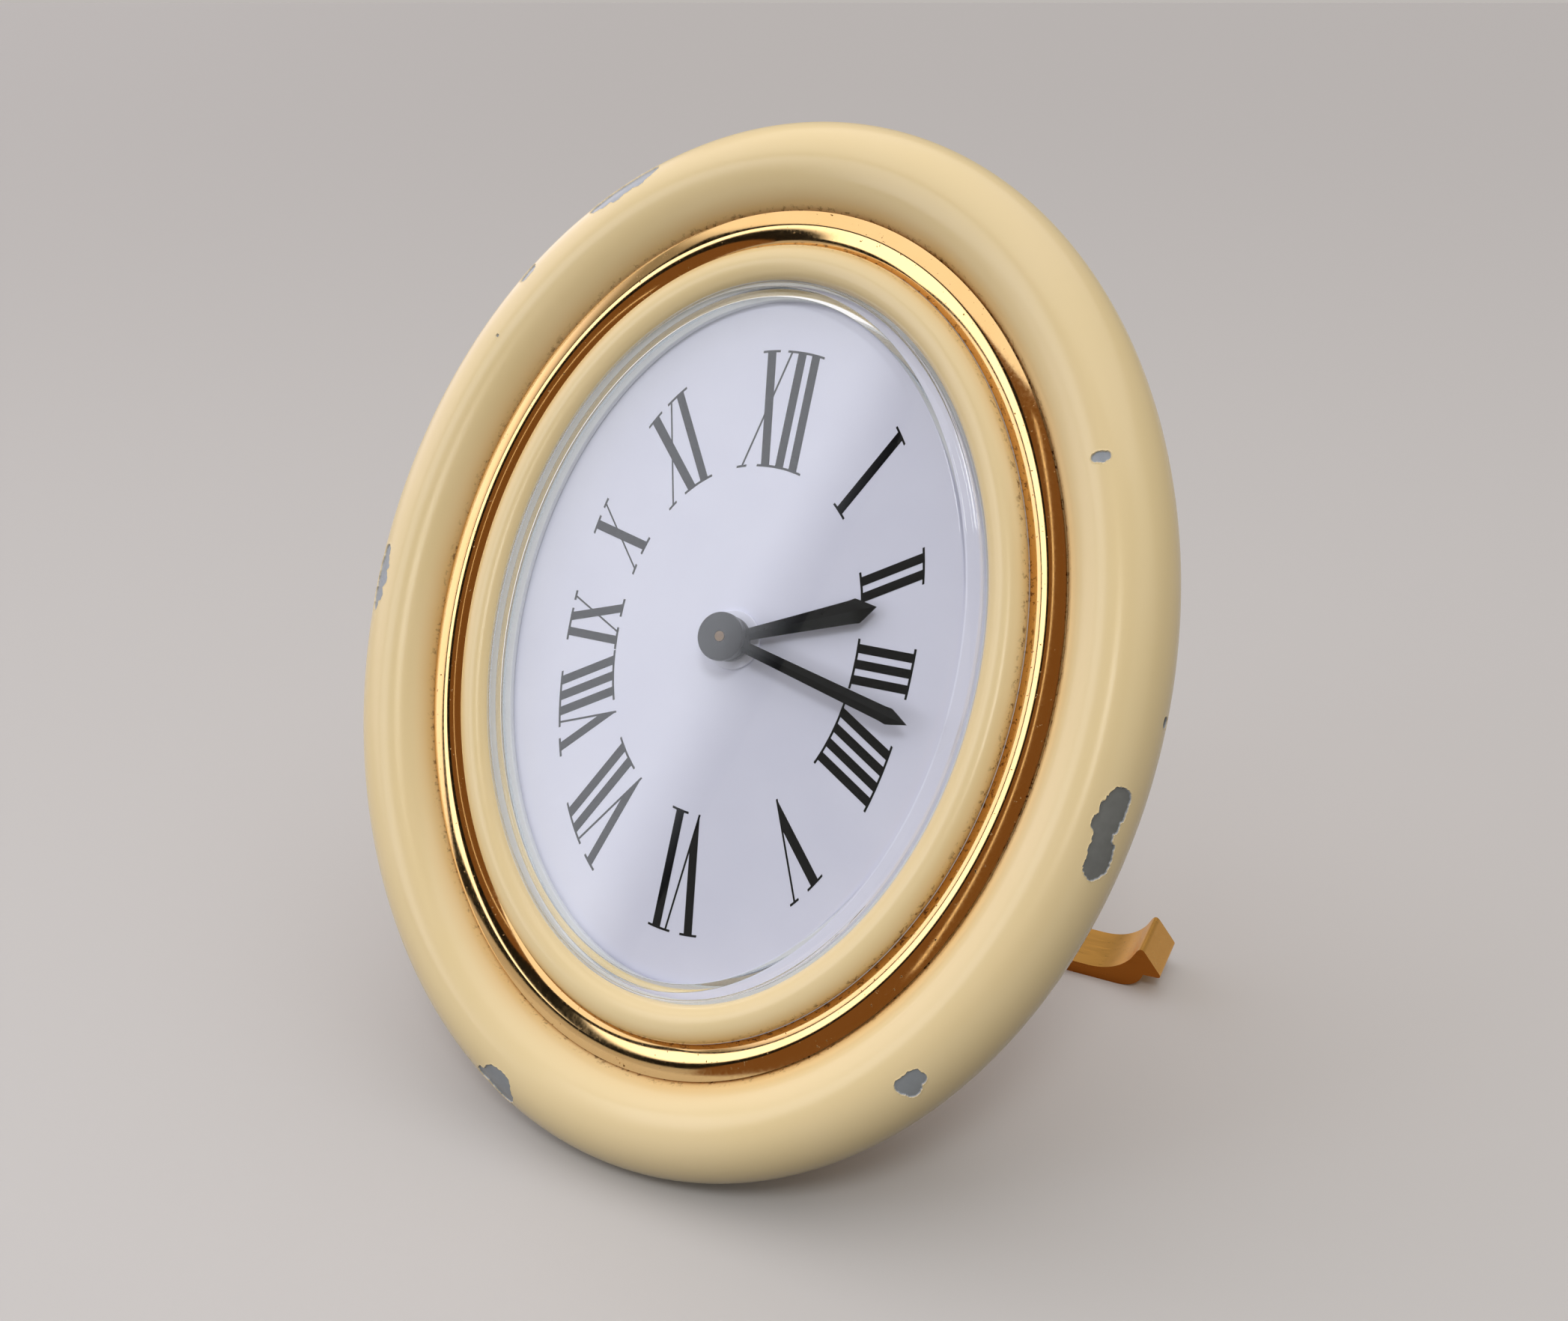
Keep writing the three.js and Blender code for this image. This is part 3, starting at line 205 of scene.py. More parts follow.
def surface(name, tones, drift, grain=None, relief=None, shine=None, shadedFlank=None, **sockets):
    # a finish that drifts between two tones, with a grain that stands up from it and changes its shine
    # drift: the size in mm, detail and range of its noise; grain: size, detail, roughness and stretch
    finish, add = startFinish(name)
    place = add("TexCoord", out="Object")
    coat = {key.replace("_", " "): value for key, value in sockets.items()}
    size, detail, *span = drift
    clouds = add("TexNoise", {"Vector": place, "Scale": perMetre(size), "Detail": detail})
    share = add("MapRange", [clouds, *span])
    coat["Base Color"] = add("Mix", {0: share, 6: tones[0], 7: tones[1]}, **byColour)
    # painted shade: faces marked as flanks take a darker colour
    if shadedFlank:
        share = add("Attribute", out="Fac", attribute_name="shadedFlank")
        coat["Base Color"] = add("Mix", {0: share, 6: coat["Base Color"], 7: shadedFlank}, **byColour)
    if grain:
        size, detail, rough, stretch = grain
        along = add("Mapping", {"Vector": place, "Scale": stretch})
        pattern = {"Vector": along, "Scale": perMetre(size), "Detail": detail, "Roughness": rough}
        marks = add("TexNoise", pattern)
        if shine:
            coat["Roughness"] = add("MapRange", [marks, 0.3, 0.7, *shine])
        if relief:
            coat["Normal"] = add("Bump", {"Height": marks, "Distance": relief * mm})
    add("OutputMaterial", [add("BsdfPrincipled", coat)])
    return finish


even = (1, 1, 1)  # a grain that runs no way more than another


def mouldedPlastic(name, colour, other, roughness):
    # injection-moulded plastic: an even satin skin with a fine spark texture
    return surface(name, (colour, other), (2.5, 3), (0.2, 2, 0.5, even), 0.006, Roughness=roughness, IOR=1.5)


def turnedMetal(name, colour, other, roughness, size):
    # machined metal: cutter marks that scatter the shine along one way
    marks = (size, 3, 0.5, (0.08, 1, 1))
    shine = (roughness - 0.06, roughness + 0.08)
    return surface(name, (colour, other), (2, 3), marks, 0.006, shine, Metallic=1)


finishes = {
    "ivory_lacquer": ivoryLacquer(),
    "polished_gilt": polishedGilt(),
    # gold plate over a brushed casting: straight fine scratches that draw the highlights out, painted shade on the
    # flanks
    "brushed_gilt": surface(
        "satin_gilt", ("#edb45e", "#e7ad55"), (6, 3, 0.2, 0.8), (0.3, 3, 0.65, (0.05, 1, 1)), 0.005,
        (0.26, 0.42), shadedFlank="#a86526", Metallic=1,
    ),
    "mineral_glass": mineralGlass(),
    # sprayed bluish-white dial paint: nearly matt, with a powder-fine grain (drawn coarser, to show)
    "white_dial": surface(
        "dial_enamel", ("#dbdcee", "#dfe0f1"), (7, 2, 0.3, 0.7), (0.25, 3, 0.5, even), 0.0003,
        Roughness=0.5, IOR=1.45,
    ),
    "grey_plastic": mouldedPlastic("grey_abs", "#d0d3d8", "#d9dce1", 0.4),
    "black_plastic": mouldedPlastic("black_abs", "#1b1b1d", "#252528", 0.45),
    "white_gasket": mouldedPlastic("gasket_rubber", "#d9dadb", "#e2e3e4", 0.7),
    # black lacquer on stamped sheet: glossy, with soft wear in its shine
    "black_hand": surface(
        "hand_lacquer", ("#09090b", "#121214"), (1.2, 3), (0.8, 3, 0.5, even), shine=(0.11, 0.2),
        IOR=1.45, Specular_IOR_Level=0.16,
    ),
    # blackened steel, turned and left satin
    "grey_cap": surface(
        "blackened_steel", ("#0f0f11", "#19191b"), (0.9, 4), (0.3, 2, 0.5, even), 0.004,
        Roughness=0.32, IOR=1.45, Specular_IOR_Level=0.25,
    ),
    "movement_brass": turnedMetal("machined_brass", "#c9a65a", "#bb9548", 0.28, 0.25),
    "nickel": turnedMetal("nickel_plate", "#d9d9d8", "#c9c9ca", 0.22, 0.3),
    "steel": turnedMetal("plain_steel", "#a4a7ab", "#94979b", 0.3, 0.25),
    "copper_wire": woundCopper(),
    "green_board": mouldedPlastic("circuit_board_resist", "#1f5c38", "#2a6d45", 0.4),
}
# pad-printed black ink: flat and dense, a little uneven
inkTones = ("#09090a", "#131315")
inkFinish = surface("dial_ink", inkTones, (0.4, 3), Roughness=0.8, IOR=1.4, Specular_IOR_Level=0.15)
tarnish = turnedMetal("tarnished_brass", "#8a6d4d", "#785c3f", 0.5, 0.25)
print("finishes made:", len(finishes) + 2)

# Building shapes
oval = {"halfWidth": 32.6, "halfHeight": 40.95, "steps": 480}  # the frame tube's middle line


def roundAngles(steps):
    return [2 * math.pi * i / steps for i in range(steps)]


def ovalPoint(inset, angle):
    normal = Vector((math.cos(angle) / oval["halfWidth"], math.sin(angle) / oval["halfHeight"])).normalized()
    x = oval["halfWidth"] * math.cos(angle) - inset * normal.x
    y = oval["halfHeight"] * math.sin(angle) - inset * normal.y
    return x, y


def rounded(corners, arc=5, closed=True):
    # corners as (across, height, radius), turned into a line with rounded corners
    line = []
    for i, (x, y, radius) in enumerate(corners):
        here = Vector((x, y))
        if radius == 0 or (not closed and i in (0, len(corners) - 1)):
            line.append((x, y))
            continue
        before = Vector(corners[i - 1][:2]) - here
        after = Vector(corners[(i + 1) % len(corners)][:2]) - here
        half = before.angle(after) / 2
        reach = min(radius / math.tan(half), before.length * 0.49, after.length * 0.49)
        start, end = here + before.normalized() * reach, here + after.normalized() * reach
        for k in range(arc + 1):
            t = k / arc
            p = start * (1 - t) ** 2 + here * (2 * t * (1 - t)) + end * t**2
            line.append((p.x, p.y))
    return line


def skin(loops, ring=False):
    # a mesh over a row of point loops: closed on itself, or capped at both ends
    mesh = bpy.data.meshes.new("skin")
    count = len(loops[0])
    faces = []
    for i in range(len(loops) if ring else len(loops) - 1):
        a, b = i * count, (i + 1) % len(loops) * count
        faces += [(a + k, a + (k + 1) % count, b + (k + 1) % count, b + k) for k in range(count)]
    if not ring:
        faces += [tuple(range(count)), tuple(range((len(loops) - 1) * count, len(loops) * count))]
    mesh.from_pydata([p for loop in loops for p in loop], [], faces)
    return mesh


def ovalRing(section):
    # a ring round the oval, from a closed section of (inset, height)
    turns = roundAngles(oval["steps"])
    return skin([[(*ovalPoint(inset, a), height) for inset, height in section] for a in turns], ring=True)


def ovalDish(profile, steps=oval["steps"]):
    # a dish from rows of (inset, height), capped where the rows start and end
    turns = roundAngles(steps)
    return skin([[(*ovalPoint(inset, a), height) for a in turns] for inset, height in profile])


def turnedRing(section, steps=96, x=0.0, y=0.0):
    # a ring turned about an axis through x, y, from a closed section of (radius, height)
    spokes = [(math.cos(a), math.sin(a)) for a in roundAngles(steps)]
    return skin([[(x + r * c, y + r * s, h) for r, h in section] for c, s in spokes], ring=True)


def turnedSolid(profile, steps=64, x=0.0, y=0.0):
    # a turned solid from rows of (radius, height), capped at both ends
    spokes = [(math.cos(a), math.sin(a)) for a in roundAngles(steps)]
    return skin([[(x + r * c, y + r * s, h) for c, s in spokes] for r, h in profile])


def tool(mesh, place=dialPlace):
    # lays a shape down in the scene; most are only used to join or cut another
    mesh.transform(place)
    bm = bmesh.new()
    bm.from_mesh(mesh)
    bmesh.ops.remove_doubles(bm, verts=bm.verts, dist=1e-8)
    bmesh.ops.recalc_face_normals(bm, faces=bm.faces)
    bm.to_mesh(mesh)
    bm.free()
    obj = bpy.data.objects.new("tool", mesh)
    scene.collection.objects.link(obj)
    return obj


def settle(obj):
    # what the modifiers make becomes the mesh
    mesh = bpy.data.meshes.new_from_object(obj.evaluated_get(bpy.context.evaluated_depsgraph_get()))
    obj.modifiers.clear()
    obj.data = mesh
    return obj


def combine(obj, other, operation):
    change = obj.modifiers.new("combine", "BOOLEAN")
    change.operation = operation
    change.solver = "EXACT"
    change.object = other
    settle(obj)
    bpy.data.objects.remove(other)
    return obj


def soften(obj, width, angle=32, segments=3):
    # rounds the sharp edges; width in millimetres
    edge = obj.modifiers.new("edges", "BEVEL")
    edge.width = width * mm
    edge.segments = segments
    edge.limit_method = "ANGLE"
    edge.angle_limit = math.radians(angle)
    return settle(obj)


def addPiece(name, shape, slot, body, nodes, sharp=35, finish=None):
    joined = isinstance(shape, bpy.types.Object)
    obj = shape if joined else tool(shape)
    obj.name = name
    obj.data.name = name
    obj.data.materials.clear()
    obj.data.materials.append(finish or finishes[slot])
    obj.data.polygons.foreach_set("use_smooth", [True] * len(obj.data.polygons))
    obj.data.set_sharp_from_angle(angle=math.radians(sharp))
    if joined:
        # the large faces that a cut leaves stay evenly shaded
        obj.modifiers.new("shading", "WEIGHTED_NORMAL").keep_sharp = True
        settle(obj).data.name = name
    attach(obj, body)
    if nodes:
        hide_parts(*nodes)
    return obj


# Case front. Insets go inwards from the tube's middle line, heights out of the dial's face.
front = {
    "tube": 4.25, "tubeMid": 0.7, "tubeArc": 84, "shelfInset": 8.87, "shelfTop": 2.05, "shelfBottom": -2.6,
    "ringBase": 2.2, "trim": (4.05, 6.95), "trimCrest": (5.35, 2.82), "trimFall": (0.15, 0.56),
    "bezel": (7.02, 10.17), "bezelEdge": 0.35, "bezelCrown": 1.15,
    # how far the amber reaches from the gilt (staining and the gilt's painted warm light), and how strong it is on
    # the bezel
    "frameStainAndGlow": 1.6, "bezelStainAndGlow": 1.3, "bezelStainAndGlowStrength": 0.9,
}
# chips in the lacquer: half through, to the pale primer, or right through, to the dark casting; each is a few
# spots as (degrees round the oval, degrees round the tube, radius in mm)
primer, between, casting = 0.5, 0.78, 1.0
chips = [
    (casting, [(351.6, 46, 0.95), (350.4, 49, 1.2), (349.0, 51, 1.15)]),
    (casting, [(347.7, 49, 0.9), (346.3, 45, 1.1), (345.2, 43, 1.2), (344.6, 44, 1.0)]),
    (between, [(314.9, 65, 0.75), (313.9, 62, 0.95), (313.3, 67, 0.6), (315.4, 61, 0.5)]),
    (between, [(248.6, 46, 0.75), (249.6, 50, 0.8), (250.6, 55, 1.35), (251.6, 54, 1.45), (252.4, 46, 1.2)]),
    (primer, [(27.1, 86, 0.36), (27.1, 90, 0.42), (27.2, 94, 0.42), (27.2, 98, 0.34)]),
    (primer, [(177.6, 58, 0.7), (179.2, 58, 1.0), (181.0, 58, 1.1), (182.8, 57, 0.9), (184.2, 56, 0.55)]),
    (primer, [(125.2, 50, 0.75), (123.6, 51, 0.95), (121.8, 51, 1.2)]),
    (primer, [(120.0, 51, 1.1), (118.2, 51, 1.2), (116.4, 50, 0.85)]),
    (primer, [(138.4, 52, 0.6), (137.4, 52, 0.7)]),
    (casting, [(0.1, 6, 0.45)]),
    (primer, [(146.4, 85.5, 0.16)]),
]
chipEdge = {
    "depth": 0.13, "slope": 0.07, "start": -0.02, "rim": -0.08,  # how deep it is and how steeply it ends
    "lip": 0.03, "lipAt": 0.04,  # the lacquer stands up a little round a chip
    "ragged": ((0.16, 1.4), (0.1, 3.1), (0.05, 8.0)),  # waves along the edge: height in mm, waves in a mm
    "far": -0.6, "near": -0.45, "cuts": 7,  # faces near a chip are cut finer
}


def crowned(outer, inner, base, edge, crown, steps=24):
    # straight sides under a rounded crown
    half = (inner - outer) / 2
    section = [(inner, base), (outer, base)]
    for i in range(steps + 1):
        a = math.pi * i / steps
        section.append((outer + half * (1 - math.cos(a)), base + edge + crown * math.sin(a)))
    return section


def crested(outer, inner, base, crest, top, outerFall, innerFall, steps=14):
    # nearly flat from the outer edge up to a crest, then rolled down towards the inner edge
    section = [(inner, base), (outer, base)]
    for i in range(steps):
        far = 1 - i / steps
        section.append((crest - (crest - outer) * far, top - outerFall * far**1.4))
    for i in range(steps + 1):
        far = i / steps
        section.append((crest + (inner - crest) * far, top - innerFall * far**1.7))
    return section


def framePoint(ovalDegrees, tubeDegrees):
    a = math.radians(tubeDegrees)
    x, y = ovalPoint(-front["tube"] * math.cos(a), math.radians(ovalDegrees))
    return Vector((x, y, front["tubeMid"] + front["tube"] * math.sin(a)))


def caseFrame():
    r, mid, arc = front["tube"], front["tubeMid"], front["tubeArc"]
    start = math.pi - math.asin((front["shelfTop"] - mid) / r)
    end = -math.pi - math.asin((front["shelfBottom"] - mid) / r)
    section = [(front["shelfInset"], front["shelfBottom"]), (front["shelfInset"], front["shelfTop"])]
    for i in range(arc + 1):
        a = start + (end - start) * i / arc
        section.append((-r * math.cos(a), mid + r * math.sin(a)))
    mesh = ovalRing(section)
    bm = bmesh.new()
    bm.from_mesh(mesh)
    bm.verts.ensure_lookup_table()
    names = ("chip", "groove", "bare")
    chipLayer, grooveLayer, bareLayer = [bm.verts.layers.float.new(name) for name in names]
    for i, vert in enumerate(bm.verts):
        inset, height = section[i % len(section)]
        # mask for the amber near the gilt, partly staining and partly painted warm light, fading away from the
        # trim ring
        away = (front["trim"][0] - inset) / front["frameStainAndGlow"]
        vert[grooveLayer] = max(0.0, 1 - away) ** 1.6 if height > 0 else 0.0
        vert[bareLayer] = 1.0 if inset > front["bezel"][0] else 0.0
    spots = [(framePoint(o, t), size, depth) for depth, chip in chips for o, t, size in chip]

    def chipDepth(p):
        # how far inside a chip's edge a point is, in millimetres, and how deep that chip goes
        inside, size, depth = max((size - (p - centre).length, size, depth) for centre, size, depth in spots)
        if inside >= chipEdge["far"]:
            ragged = sum(height * noise.noise(p * waves) for height, waves in chipEdge["ragged"])
            inside += ragged * min(1.0, size * size * 1.6)
        return inside, depth

    near = [face for face in bm.faces if chipDepth(face.calc_center_median())[0] > chipEdge["near"]]
    edges = {edge for face in near for edge in face.edges}
    bmesh.ops.subdivide_edges(bm, edges=list(edges), cuts=chipEdge["cuts"], use_grid_fill=True)
    bm.normal_update()
    bmesh.ops.recalc_face_normals(bm, faces=bm.faces)
    moved = []
    for vert in bm.verts:
        inside, depth = chipDepth(vert.co)
        if inside > chipEdge["rim"]:
            step = min(1.0, max(0.0, (inside - chipEdge["start"]) / chipEdge["slope"]))
            vert[chipLayer] = step * depth
            lip = chipEdge["lip"] * math.exp(-((inside + chipEdge["lipAt"]) / chipEdge["lipAt"]) ** 2)
            moved.append((vert, vert.normal * (lip - chipEdge["depth"] * step * step * (3 - 2 * step))))
    for vert, shift in moved:
        vert.co += shift
    bm.to_mesh(mesh)
    bm.free()
    return mesh


def innerBezel():
    # its lacquer is stained beside the gilt, and painted with the gilt's warm reflected light there
    section = crowned(*front["bezel"], front["ringBase"], front["bezelEdge"], front["bezelCrown"])
    mesh = ovalRing(section)
    stainAndGlow = mesh.attributes.new("groove", "FLOAT", "POINT")
    away = [abs(inset - front["bezel"][0]) / front["bezelStainAndGlow"] for inset, height in section]
    near = [max(0.0, 1 - far) ** 1.4 * front["bezelStainAndGlowStrength"] for far in away]
    stainAndGlow.data.foreach_set("value", near * oval["steps"])
    return mesh


addPiece("case_frame_fine", caseFrame(), "ivory_lacquer", "case", ["case_frame"], sharp=50)
trimSection = crested(*front["trim"], front["ringBase"], *front["trimCrest"], *front["trimFall"])
addPiece("trim_ring_fine", ovalRing(trimSection), "polished_gilt", "case", ["trim_ring"], sharp=60)
addPiece("inner_bezel_fine", innerBezel(), "ivory_lacquer", "case", ["inner_bezel"], sharp=60)
print("case front made")

# Crystal, and the rings that it sits on
glass = {
    "flange": 9.17, "wall": 10.47, "base": 1.35, "flangeTop": 2.05, "shoulder": 3.8, "top": 4.8,
    "bevel": 0.9, "wallThick": 0.7, "thick": 1.6, "innerTop": 2.6, "innerBevel": 0.8,
    # rings under the flange: width, lower and upper height, rounding
    "gasket": (1.5, 0.9, 1.2, 0.08), "spacer": (2.2, 0.15, 0.75, 0.12),
}


def crystalShape():
    outer, inner = glass["wall"], glass["wall"] + glass["wallThick"]
    under = glass["top"] - glass["thick"]
    profile = [
        (outer + glass["bevel"] + 1, glass["top"], 0),
        (outer + glass["bevel"], glass["top"], 0.12),
        (outer, glass["shoulder"], 0.25),
        (outer, glass["flangeTop"], 0.03),
        (glass["flange"], glass["flangeTop"], 0.05),
        (glass["flange"], glass["base"], 0.05),
        (inner, glass["base"], 0.05),
        (inner, glass["innerTop"], 0.2),
        (inner + glass["innerBevel"], under, 0.2),
        (inner + glass["innerBevel"] + 1, under, 0),
    ]
    return ovalDish(rounded(profile, closed=False))


def band(width, low, high, edge):
    outer = glass["flange"]
    corners = [(outer, low), (outer, high), (outer + width, high), (outer + width, low)]
    return ovalRing(rounded([(inset, height, edge) for inset, height in corners], arc=3))


crystalPiece = addPiece("crystal_clear", crystalShape(), "mineral_glass", "case", ["crystal"], sharp=60)
crystalPiece.visible_shadow = False  # clear glass lets the light through to the dial
crystalPiece.visible_diffuse = False
addPiece("gasket_fine", band(*glass["gasket"]), "white_gasket", "case", ["crystal_gasket"])
addPiece("spacer_fine", band(*glass["spacer"]), "grey_plastic", "case", ["dial_spacer"])

# Dial with its printed numerals
dial = {"inset": 9.17, "thick": 0.4, "hole": 1.85, "edge": 0.06, "steps": 240}
eyelet = {"bore": 1.4, "neck": 1.7, "rim": 2.55, "low": -0.35, "under": 0.05, "top": 0.35}
numerals = {
    "inner": (11.19, 15.1), "outer": (16.3, 25.35), "fullness": 2.15,  # ovals that the numerals stand between
    "thick": 0.75, "thin": 0.17, "serif": 0.2, "wide": 0.795, "narrow": 0.44,  # strokes and serifs
    "lift": 0.002, "thickInk": 0.02, "thinInk": 0.016, "serifInk": 0.013,  # heights of the print
    "pitch": 1.3, "vWidth": 2.2, "vTip": 0.56, "vNext": 0.9,
    "xWidth": 1.95, "xLean": 1.6, "xThick": 1.02, "xFoot": -0.6, "xNext": 0.95,
    "nudge": {7: -0.55, 8: -0.55, 9: -0.35},  # hours printed a little off their radial line, in mm
}
hours = ["XII", "I", "II", "III", "IIII", "V", "VI", "VII", "VIII", "IX", "X", "XI"]


def dialPlate():
    edge, low, hole, rim = dial["edge"], -dial["thick"], dial["hole"], dial["inset"]
    loops = []
    for a in roundAngles(dial["steps"]):
        loop = [(hole * math.cos(a), hole * math.sin(a), height) for height in (low, 0.0)]
        outside = ((rim + edge, 0.0), (rim, -edge), (rim, low))
        loops.append(loop + [(*ovalPoint(inset, a), height) for inset, height in outside])
    return skin(loops, ring=True)


def numeralMesh():
    n = numerals
    verts, faces = [], []

    def prism(outline, high):
        first, count = len(verts), len(outline)
        for height in (n["lift"], high):
            verts.extend((p.x, p.y, height) for p in outline)
        low, top = [tuple(range(start, start + count)) for start in (first, first + count)]
        faces.extend((low, top))
        for k in range(count):
            ahead = (k + 1) % count
            faces.append((low[k], low[ahead], top[ahead], top[k]))

    for hour, figure in enumerate(hours):
        turn = math.radians(30 * hour)
        across = Vector((math.cos(turn), -math.sin(turn)))
        outward = Vector((math.sin(turn), math.cos(turn)))

        def onOval(u, which):
            # the place on the inner or outer oval that lies so far across the numeral's middle line
            low, high = 5.0, 30.0
            for step in range(40):
                v = (low + high) / 2
                p = across * u + outward * v
                full = sum(abs(at / half) ** n["fullness"] for at, half in zip(p, n[which]))
                low, high = (v, high) if full < 1 else (low, v)
            return p

        strokes, wedges, serifs = [], [], []
        u = 0.0
        for letter in figure:
            if letter == "I":
                strokes.append((u, u, n["thick"]))
                serifs += [("outer", u, "wide"), ("inner", u, "wide")]
                u += n["pitch"]
            elif letter == "V":
                thinU, tipU = u + n["vWidth"], u + n["vWidth"] * n["vTip"]
                wedges.append((u, thinU, tipU))
                strokes.append((thinU, tipU, n["thin"]))
                serifs += [("outer", u, "wide"), ("outer", thinU, "narrow")]
                u += n["vWidth"] + n["vNext"]
            else:
                strokes.append((u, u + n["xLean"], n["thick"] * n["xThick"]))
                strokes.append((u + n["xWidth"], u + n["xFoot"], n["thin"]))
                serifs += [("outer", u, "wide"), ("outer", u + n["xWidth"], "narrow")]
                serifs += [("inner", u + n["xLean"], "wide"), ("inner", u + n["xFoot"], "narrow")]
                u += n["xWidth"] + n["xNext"]
        ends = [stroke[0] for stroke in strokes + wedges]
        shift = n["nudge"].get(hour, 0.0) - (min(ends) + max(ends)) / 2
        for outerU, innerU, width in strokes:
            sides = [(innerU, -1, "inner"), (innerU, 1, "inner"), (outerU, 1, "outer"), (outerU, -1, "outer")]
            outline = [onOval(u + side * width / 2 + shift, which) for u, side, which in sides]
            prism(outline, n["thinInk"] if width == n["thin"] else n["thickInk"])
        for thickU, thinU, tipU in wedges:
            # the heavy arm of a V runs out to a point on the inner oval
            half = n["thick"] / 2
            tip = onOval(tipU + shift, "inner")
            inside = tip.lerp(onOval(thinU + shift, "outer"), 2 * half / (thinU - thickU + half))
            outside = [onOval(thickU + side + shift, "outer") for side in (half, -half)]
            prism([tip, inside, *outside], n["thickInk"])
        for which, u, width in serifs:
            reach = n[width]
            inward = -outward if which == "outer" else outward
            line = [onOval(u + shift - reach + 2 * reach * k / 6, which) for k in range(7)]
            prism(line + [p + inward * n["serif"] for p in reversed(line)], n["serifInk"])
    mesh = bpy.data.meshes.new("numerals")
    mesh.from_pydata(verts, [], faces)
    return mesh


addPiece("dial_plate", dialPlate(), "white_dial", "case", ["dial"])
addPiece("dial_numerals", numeralMesh(), "black_hand", "case", [], finish=inkFinish)
eyeletEdge = rounded([
    (eyelet["bore"], eyelet["low"], 0.03), (eyelet["bore"], eyelet["top"], 0.1),
    (eyelet["rim"], eyelet["top"], 0.12), (eyelet["rim"], eyelet["under"], 0.05),
    (eyelet["neck"], eyelet["under"], 0), (eyelet["neck"], eyelet["low"], 0.03),
])
addPiece("dial_eyelet_fine", turnedRing(eyeletEdge), "white_dial", "case", ["dial_eyelet"])
print("crystal and dial made")

# Hands: sword blades with a ridge down the middle, on a hub, under a turned cap
hands = {
    "hour": {"angle": 68.8, "length": 13.4, "width": 2.1, "base": 0.95, "bore": 1.15},
    "minute": {"angle": 103.3, "length": 17.8, "width": 1.4, "base": 1.7, "bore": 0.48},
}
handSize = {
    "shoulder": 1.7, "root": 0.95, "thick": 0.4, "side": 0.16, "hub": 1.95, "boss": 0.2, "start": 1.17,
}
cap = {"bore": 0.48, "radius": 2.07, "low": 2.25, "top": 2.8}


def handShape(size):
    base, thick, side, root = size["base"], handSize["thick"], handSize["side"], handSize["root"]
    shoulder, width = size["length"] - handSize["shoulder"], size["width"]
    # half widths along the blade, from the hub to the tip
    stations = [
        (handSize["start"], root / 2), (shoulder * 0.5, root * 0.29 + width * 0.2),
        (shoulder - 0.6, width * 0.462), (shoulder, width / 2),
        (shoulder + 0.5, width * 0.365), (size["length"] - 0.02, 0.012),
    ]
    rows = []
    for along, half in stations:
        crest = base + side + (thick - side) * min(1.0, half / (root / 2))
        rows.append([
            (along, -half, base), (along, -half, base + side), (along, 0, crest),
            (along, half, base + side), (along, half, base),
        ])
    turn = Matrix.Rotation(math.pi / 2 - math.radians(size["angle"]), 4, "Z")
    blade = tool(skin(rows), dialPlace @ turn)
    low, high, bore, hub = base - handSize["boss"], base + thick, size["bore"], handSize["hub"]
    hubEdge = rounded([(bore, low, 0.02), (bore, high, 0.05), (hub, high, 0.1), (hub, low, 0.06)])
    # the blade's root ends inside the hub
    return combine(blade, tool(turnedRing(hubEdge, 72)), "UNION")


for which, body in (("hour", "hour_group"), ("minute", "minute_group")):
    blade = soften(handShape(hands[which]), 0.03, angle=12, segments=2)
    addPiece(which + "_hand_fine", blade, "black_hand", body, [which + "_hand"], sharp=25)
capEdge = rounded([
    (cap["bore"], cap["low"], 0.03), (cap["bore"], cap["top"], 0.06),
    (cap["radius"], cap["top"], 0.14), (cap["radius"], cap["low"], 0.05),
])
addPiece("hand_cap_fine", turnedRing(capEdge), "grey_cap", "minute_group", ["hand_cap"])
print("hands made")

# Case back: a pan with a flange, screws, the hatch, the setting knob and the stand's bracket
rear = {
    "edge": 3.37, "outer": 6.17, "inner": 7.37, "flangeTop": -2.75, "flangeBack": -3.75,
    "inside": -11.3, "back": -12.5, "floorReach": 2.5, "screwAngles": (40, 140, 220, 320), "screwInset": 4.77,
    "hatchHole": 7.6, "lugHole": (9.1, 1.6), "shaftHole": 1.05, "screwHole": 0.85,
    "bracketScrews": ((-5.025, -22.53), (5.025, -22.53)),
}
screwSize = {
    "head": 1.35, "shank": 0.7, "proud": 0.15, "rim": 0.2, "dome": 0.4, "flat": 0.2,
    "slot": (3, 0.2, 0.3), "turn": 25,
}
hatch = {
    "place": (0, 21.48), "radius": 7.3, "proud": 0.15, "rim": 1.0, "step": 1.2, "inside": -10.65,
    "middle": 0.5, "lug": (8.8, 1.3, 0.5), "slot": (5.11, 0.7, 0.5),
    "grooves": (6.3, 6.7), "groove": (0.16, 0.12),
}
knob = {
    "place": (7.66, 6.43), "radius": 3.2, "top": -12.65, "low": -15.15, "flutes": 14, "perFlute": 16,
    "bore": 0.8, "boreEnd": -14.37, "boreStart": -12.0,
}


def boxTool(left, right, bottom, top, low, high, turn=0.0, x=0.0, y=0.0):
    corners = [(left, bottom), (right, bottom), (right, top), (left, top)]
    rows = [[(a, b, h) for a, b in corners] for h in (low, high)]
    place = Matrix.Translation((x, y, 0)) @ Matrix.Rotation(math.radians(turn), 4, "Z")
    return tool(skin(rows), dialPlace @ place)


def rodTool(radius, low, high, x, y, steps=64):
    return tool(turnedSolid([(radius, low), (radius, high)], steps, x, y))


